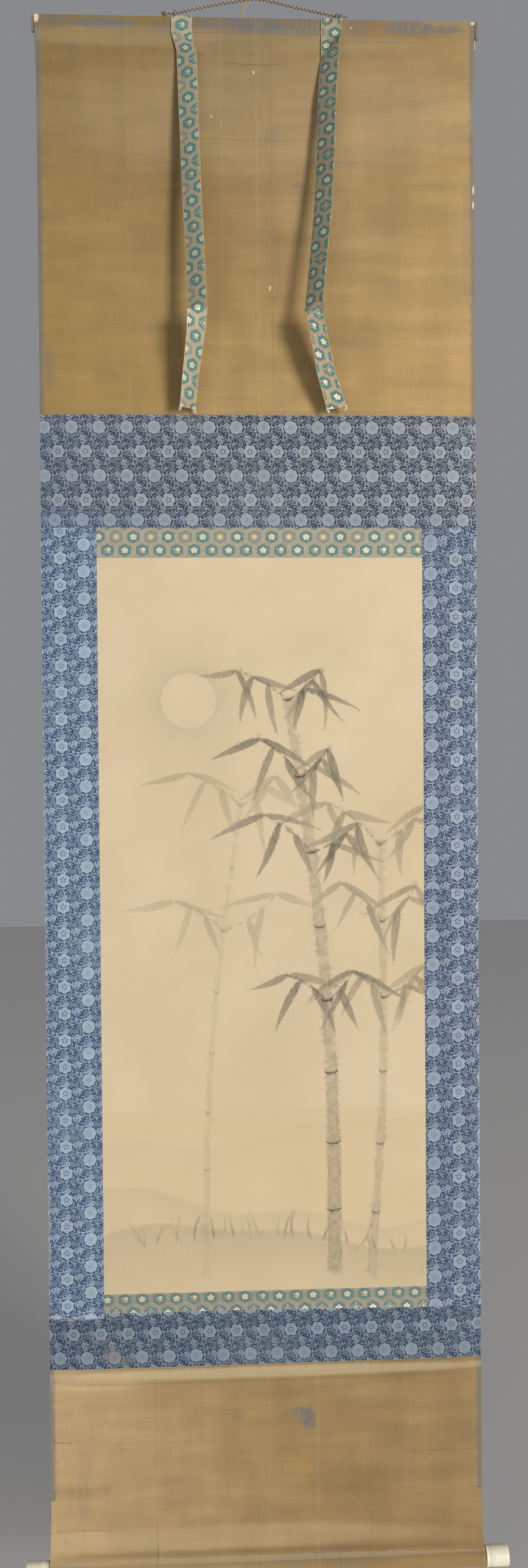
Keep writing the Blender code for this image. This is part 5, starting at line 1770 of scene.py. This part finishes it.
def streamer_surface(table, leans):
    """Middle points of a strip, row by row, and its map in metres along each column."""
    table, leans = np.array(table), np.array(leans)
    across = np.linspace(-1.0, 1.0, STREAMER_COLUMNS + 1)
    half = 0.5 * STREAMER_WIDTH
    rows = []
    top = STAVE_TOP + SOLID_GAP + 0.5 * SHEET_THICK
    lip = [(REST_Y * share, top - drop) for share, drop in STREAMER_LIP]
    for y, z in lip + [(REST_Y, 0.75 * top + 0.25 * table[0, 0])]:
        rows.append(np.stack([table[0, 1] + half * across, np.full_like(across, y),
                              np.full_like(across, z)], 1))
    count = round((table[0, 0] - table[-1, 0]) / STREAMER_STEP)
    heights = np.linspace(table[0, 0], table[-1, 0], count + 1)
    for z in heights:
        at = [np.interp(-z, -table[:, 0], table[:, i]) for i in (1, 2, 3)]
        lean = np.interp(-z, -leans[:, 0], leans[:, 1])
        turn = math.radians(at[2])
        bow = 0.0006 * (1.0 - across**2) * min(1.0, at[1] / 0.01)
        rows.append(np.stack([at[0] + half * across * math.cos(turn) + bow * math.sin(turn),
                              REST_Y - at[1] + half * across * math.sin(turn) - bow,
                              z + lean * half * across], 1))
    middle = np.stack(rows)
    middle[:, :, 1] += PLANE_Y
    tilt = np.concatenate([np.zeros(len(lip) + 1), np.interp(-heights, -leans[:, 0], leans[:, 1])])
    down = path_lengths(middle[:, STREAMER_COLUMNS // 2])
    v = tilt[:, None] * half * across - down[:, None]
    flat = np.stack([np.broadcast_to(half * across, v.shape), v], 2)
    return middle, flat


strips = {}
for side in ("left", "right"):
    middle, flat_map = streamer_surface(STREAMERS[side], LEANS[side])
    piece = sheet_piece(f"{side}_streamer", middle, flat_map, (brocades[side], plain_back))
    length = -float(flat_map[-1, STREAMER_COLUMNS // 2, 1])
    sheets.append((piece, f"streamer_{side}", (STREAMER_WIDTH, length), "hexagon_brocade"))
    strips[side] = middle
    print(f"{side} streamer {1000 * length:.0f} mm long")

# %% [markdown]
# ### Thread tufts
# Each lower corner of a streamer is tied with white thread. It winds round the corner and
# leaves a few loose ends. Each end is two plies twisted together, from the same tree as the
# cords.

# %% Thread tufts
white_yarn = yarn_material("white_yarn", paint(236, 230, 214), paint(186, 176, 156), 1400.0)
thread = {
    "Strands": 2, "Pitch": 0.0022, "Half Width": 0.00021, "Half Depth": 0.00021,
    "Depth Waves": 1.0, "Depth Start": 0.5 * math.pi, "Both Ways": 0.0,
    "Over And Under": 0.0, "Strand Radius": 0.00026, "Step": 0.0003, "Sides": 6,
    "Even Strands": white_yarn, "Odd Strands": white_yarn,
}


def tuft_routes(corner, inward, down, rng):
    """Two turns of thread round a corner, a small knot and five loose ends."""
    out = inward.cross(down).normalized()
    turns = np.linspace(0.0, FULL_TURN * 2.2, 40)
    wrap = [corner + inward * (0.0012 + 0.0016 * math.cos(turn)) + out * (0.0011 * math.sin(turn))
            + down * (-0.0026 + 0.0022 * turn / turns[-1]) for turn in turns]
    knot = [wrap[-1] + inward * (0.0007 * math.sin(2.0 * turn)) + out * (0.0008 * math.cos(turn))
            + down * (0.0009 * math.sin(turn) + 0.0005) for turn in turns[:24]]
    routes = [wrap + knot]
    for i in range(5):
        start = corner + inward * rng.uniform(-0.0004, 0.0022) - down * 0.0004
        sway = inward * rng.uniform(-0.0030, 0.0022) + out * rng.uniform(-0.0012, 0.0012)
        long = rng.uniform(0.0028, 0.0054)
        hook = rng.uniform(-0.5, 0.9)
        routes.append(smooth_route([start, start + down * 0.35 * long + sway * 0.3 * hook,
                                    start + down * 0.7 * long + sway * 0.9,
                                    start + down * long + sway * (1.0 - 0.6 * hook)], 0.0005))
    return routes


tuft_rng = np.random.default_rng(5)
tufts = []
for side, middle in strips.items():
    last, above = middle[-1], middle[-3]
    down = Vector(last[6] - above[6]).normalized()
    across = Vector(last[-1] - last[0]).normalized()
    for label, corner, inward in (("a", last[0], across), ("b", last[-1], -across)):
        routes = tuft_routes(Vector(corner), inward, down, tuft_rng)
        tufts.append((braid_along(f"{side}_tuft_{label}", routes, thread), f"tuft_{side}_{label}"))

# %% [markdown]
# ## Small hard pieces
# The ivory-white ends are turned: a flat face, a rounded rim, and fine rings left by the tool.
# The end covers are small caps of the brown silk. The stave, the roller's core and the eyelets
# keep their solids, which need only a finish.

# %% Roller ends
END_RADIUS, END_LENGTH, END_RIM, END_SIDES = 0.0126, 0.029, 0.0022, 96
ivory, tree, shader = new_material("ivory_white_ends", roughness=0.34)
spot = add_node(tree, "ShaderNodeTexCoord").outputs["Object"]
grain = noise(tree, spot, 3.0, 4.0, 0.6, (18.0, 160.0, 160.0))
clouds = noise(tree, spot, 90.0, 3.0, 0.5)
specks = noise(tree, spot, 620.0, 2.0, 0.5).soft_below(0.30, 0.02)
color = mix_color(tree, grain * 0.6 + clouds * 0.5, paint(212, 199, 168), paint(244, 238, 220))
color = mix_color(tree, specks * 0.55, color, paint(110, 92, 66))
tree.links.new(color, shader.inputs["Base Color"])
join(tree, clouds * 0.25 + 0.24, shader.inputs["Roughness"])
add_bump(tree, shader, grain, 0.12, 0.0002)


def turned_end(name, direction):
    """A solid of revolution about the roller's line, from the cloth's edge outwards."""
    profile = [(0.0, 0.0), (0.0, END_RADIUS - 0.0004), (0.0004, END_RADIUS)]
    profile += [(along, END_RADIUS - groove) for along, groove in
                ((0.0030, 0.0), (0.0033, 0.00018), (0.0036, 0.0), (0.012, 0.00004), (0.020, 0.0))]
    for turn in np.radians(np.linspace(0.0, 90.0, 9)):
        profile.append((END_LENGTH - END_RIM + END_RIM * math.sin(turn),
                        END_RADIUS - END_RIM + END_RIM * math.cos(turn)))
    profile += [(END_LENGTH - 0.0002, 0.0062), (END_LENGTH - 0.0005, 0.0040), (END_LENGTH, 0.0)]
    start = direction * (0.5 * POCKET_WIDTH + SOLID_GAP)
    angles = np.linspace(0.0, FULL_TURN, END_SIDES + 1)[:-1]
    bm = bmesh.new()
    rings = []
    for along, radius in profile:
        x = start + direction * along
        if radius == 0.0:
            rings.append([bm.verts.new((x, ROLLER_Y, ROLLER_Z))])
        else:
            rings.append([bm.verts.new((x, ROLLER_Y + radius * math.cos(a),
                                        ROLLER_Z + radius * math.sin(a))) for a in angles])
    for inner, outer in zip(rings, rings[1:]):
        for i in range(END_SIDES):
            j = (i + 1) % END_SIDES
            corners = [inner[i % len(inner)], inner[j % len(inner)],
                       outer[j % len(outer)], outer[i % len(outer)]]
            bm.faces.new(list(dict.fromkeys(corners)))
    bmesh.ops.recalc_face_normals(bm, faces=bm.faces)
    mesh = bpy.data.meshes.new(name)
    bm.to_mesh(mesh)
    bm.free()
    mesh.materials.append(ivory)
    mesh.shade_smooth()
    mesh.set_sharp_from_angle(angle=math.radians(35.0))
    return new_object(name, mesh)


roller_ends = {side: turned_end(f"turned_{side}_end", way)
               for side, way in (("left", -1.0), ("right", 1.0))}
print("two turned ends")


# %% Finishes of the solids that stay
def wood_material(name, light, dark):
    """Plain cedar: long grain along the rod and a few darker pores."""
    material, tree, shader = new_material(name, roughness=0.62)
    place = add_node(tree, "ShaderNodeTexCoord").outputs["Object"]
    grain = noise(tree, place, 1.0, 5.0, 0.65, (6.0, 420.0, 420.0))
    pores = noise(tree, place, 1.0, stretch=(60.0, 2600.0, 2600.0))
    color = mix_color(tree, grain, dark, light)
    color = mix_color(tree, pores.soft_below(0.36, 0.04) * 0.5, color, paint(96, 70, 44))
    tree.links.new(color, shader.inputs["Base Color"])
    add_bump(tree, shader, grain, 0.3, 0.0003)
    return material


def cover_material(name):
    """The stave covers' silk, on the solid's own place because they keep their solids."""
    material, tree, shader = new_material(name, roughness=0.78, sheen=0.25)
    place = add_node(tree, "ShaderNodeTexCoord").outputs["Object"]
    parts = add_node(tree, "ShaderNodeSeparateXYZ", Vector=place)
    flat = add_node(tree, "ShaderNodeCombineXYZ", X=parts.outputs["Y"], Y=parts.outputs["Z"])
    height, = read_group(tree, weave_group, "Height", Map=flat.outputs["Vector"], Warp=1900.0,
                         Weft=1500.0)
    rub = noise(tree, place, 260.0, 4.0, 0.6)
    color = mix_color(tree, rub.soft_below(0.5, 0.1), paint(132, 104, 66), paint(116, 110, 104))
    # Painted shade: darker where the threads dip, following the weave's height.
    tree.links.new(shade_by(tree, color, 0.25, height, 0.6), shader.inputs["Base Color"])
    add_bump(tree, shader, height, 0.35, 0.00015)
    return material


brass, tree, shader = new_material("eyelet_metal_worn", roughness=0.42, metallic=1.0)
tarnish = noise(tree, add_node(tree, "ShaderNodeTexCoord").outputs["Object"], 700.0, 4.0, 0.6)
tree.links.new(mix_color(tree, tarnish, paint(92, 76, 52), paint(196, 176, 130)),
               shader.inputs["Base Color"])
join(tree, tarnish * 0.4 + 0.25, shader.inputs["Roughness"])
cedar = wood_material("plain_cedar", paint(206, 172, 124), paint(164, 124, 78))
cover_silk = cover_material("stave_cover_silk")
KEPT = {
    "top_stave": cedar, "roller_core": cedar, "eyelet_left": brass, "eyelet_right": brass,
    "stave_cover_left": cover_silk, "stave_cover_right": cover_silk,
}
for node, material in KEPT.items():
    for slot in nodes[node].material_slots:
        slot.material = material
print(f"{len(KEPT)} solids keep their shape")

# %% [markdown]
# ## Floor, light and what each piece is held by
# A pale floor lies under the scroll. A large soft light at the upper right front gives the
# low relief its shadows, and a weak one at the left keeps them open.

# %% Pieces in place of their solids
STANDS_FOR = [
    # the piece, the solid that it stands for and the record's finish
    (hanging_cord, "hanging_cord", "two_colour_braid"),
    (knot_left, "cord_knot_left", "two_colour_braid"),
    (knot_right, "cord_knot_right", "two_colour_braid"),
    (winding_cord, "winding_cord", "pale_flat_braid"),
    (roller_ends["left"], "roller_end_left", "ivory_white"),
    (roller_ends["right"], "roller_end_right", "ivory_white"),
]
STANDS_FOR += [(piece, solid, "white_thread") for piece, solid in tufts]
STANDS_FOR += [(piece, solid, slot) for piece, solid, size, slot in sheets]
for piece, solid, slot in STANDS_FOR:
    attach(piece, "root")
    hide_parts(solid)
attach(knot_tail, "root")

# %% Floor and light
FLOOR_Z, FLOOR_SIZE = -2.05, 14.0
AIM = Vector((0.0, 0.0, -1.0))
bpy.ops.mesh.primitive_plane_add(size=FLOOR_SIZE, location=(0.0, 0.0, FLOOR_Z))
floor = bpy.context.object
floor.name = "pale_floor"
floor.data.materials.append(new_material("pale_floor", paint(214, 212, 208))[0])
floor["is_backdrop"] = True

scene = bpy.context.scene
scene.view_settings.view_transform = "Standard"
world = bpy.data.worlds.new("soft_room")
world.use_nodes = True
background = world.node_tree.nodes["Background"]
background.inputs["Color"].default_value = (0.92, 0.94, 1.0, 1.0)
background.inputs["Strength"].default_value = 0.27
scene.world = world


def area_light(name, place, size, power, color):
    lamp = bpy.data.lights.new(name, "AREA")
    lamp.shape = "RECTANGLE"
    lamp.size, lamp.size_y = size
    lamp.energy = power
    lamp.color = color
    holder = new_object(name, lamp)
    holder.location = place
    holder.rotation_euler = (AIM - Vector(place)).to_track_quat("-Z", "Y").to_euler()


area_light("window_side", (5.0, -7.4, -0.5), (2.3, 3.8), 790.0, (1.0, 0.97, 0.92))
area_light("far_side", (-1.6, -3.4, -1.2), (2.0, 2.6), 24.0, (0.95, 0.97, 1.0))

# %% Size and finish
dressed_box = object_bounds()
sizes = {"solid": [list(corner) for corner in solid_box],
         "dressed": [list(corner) for corner in dressed_box]}
print(sizes)
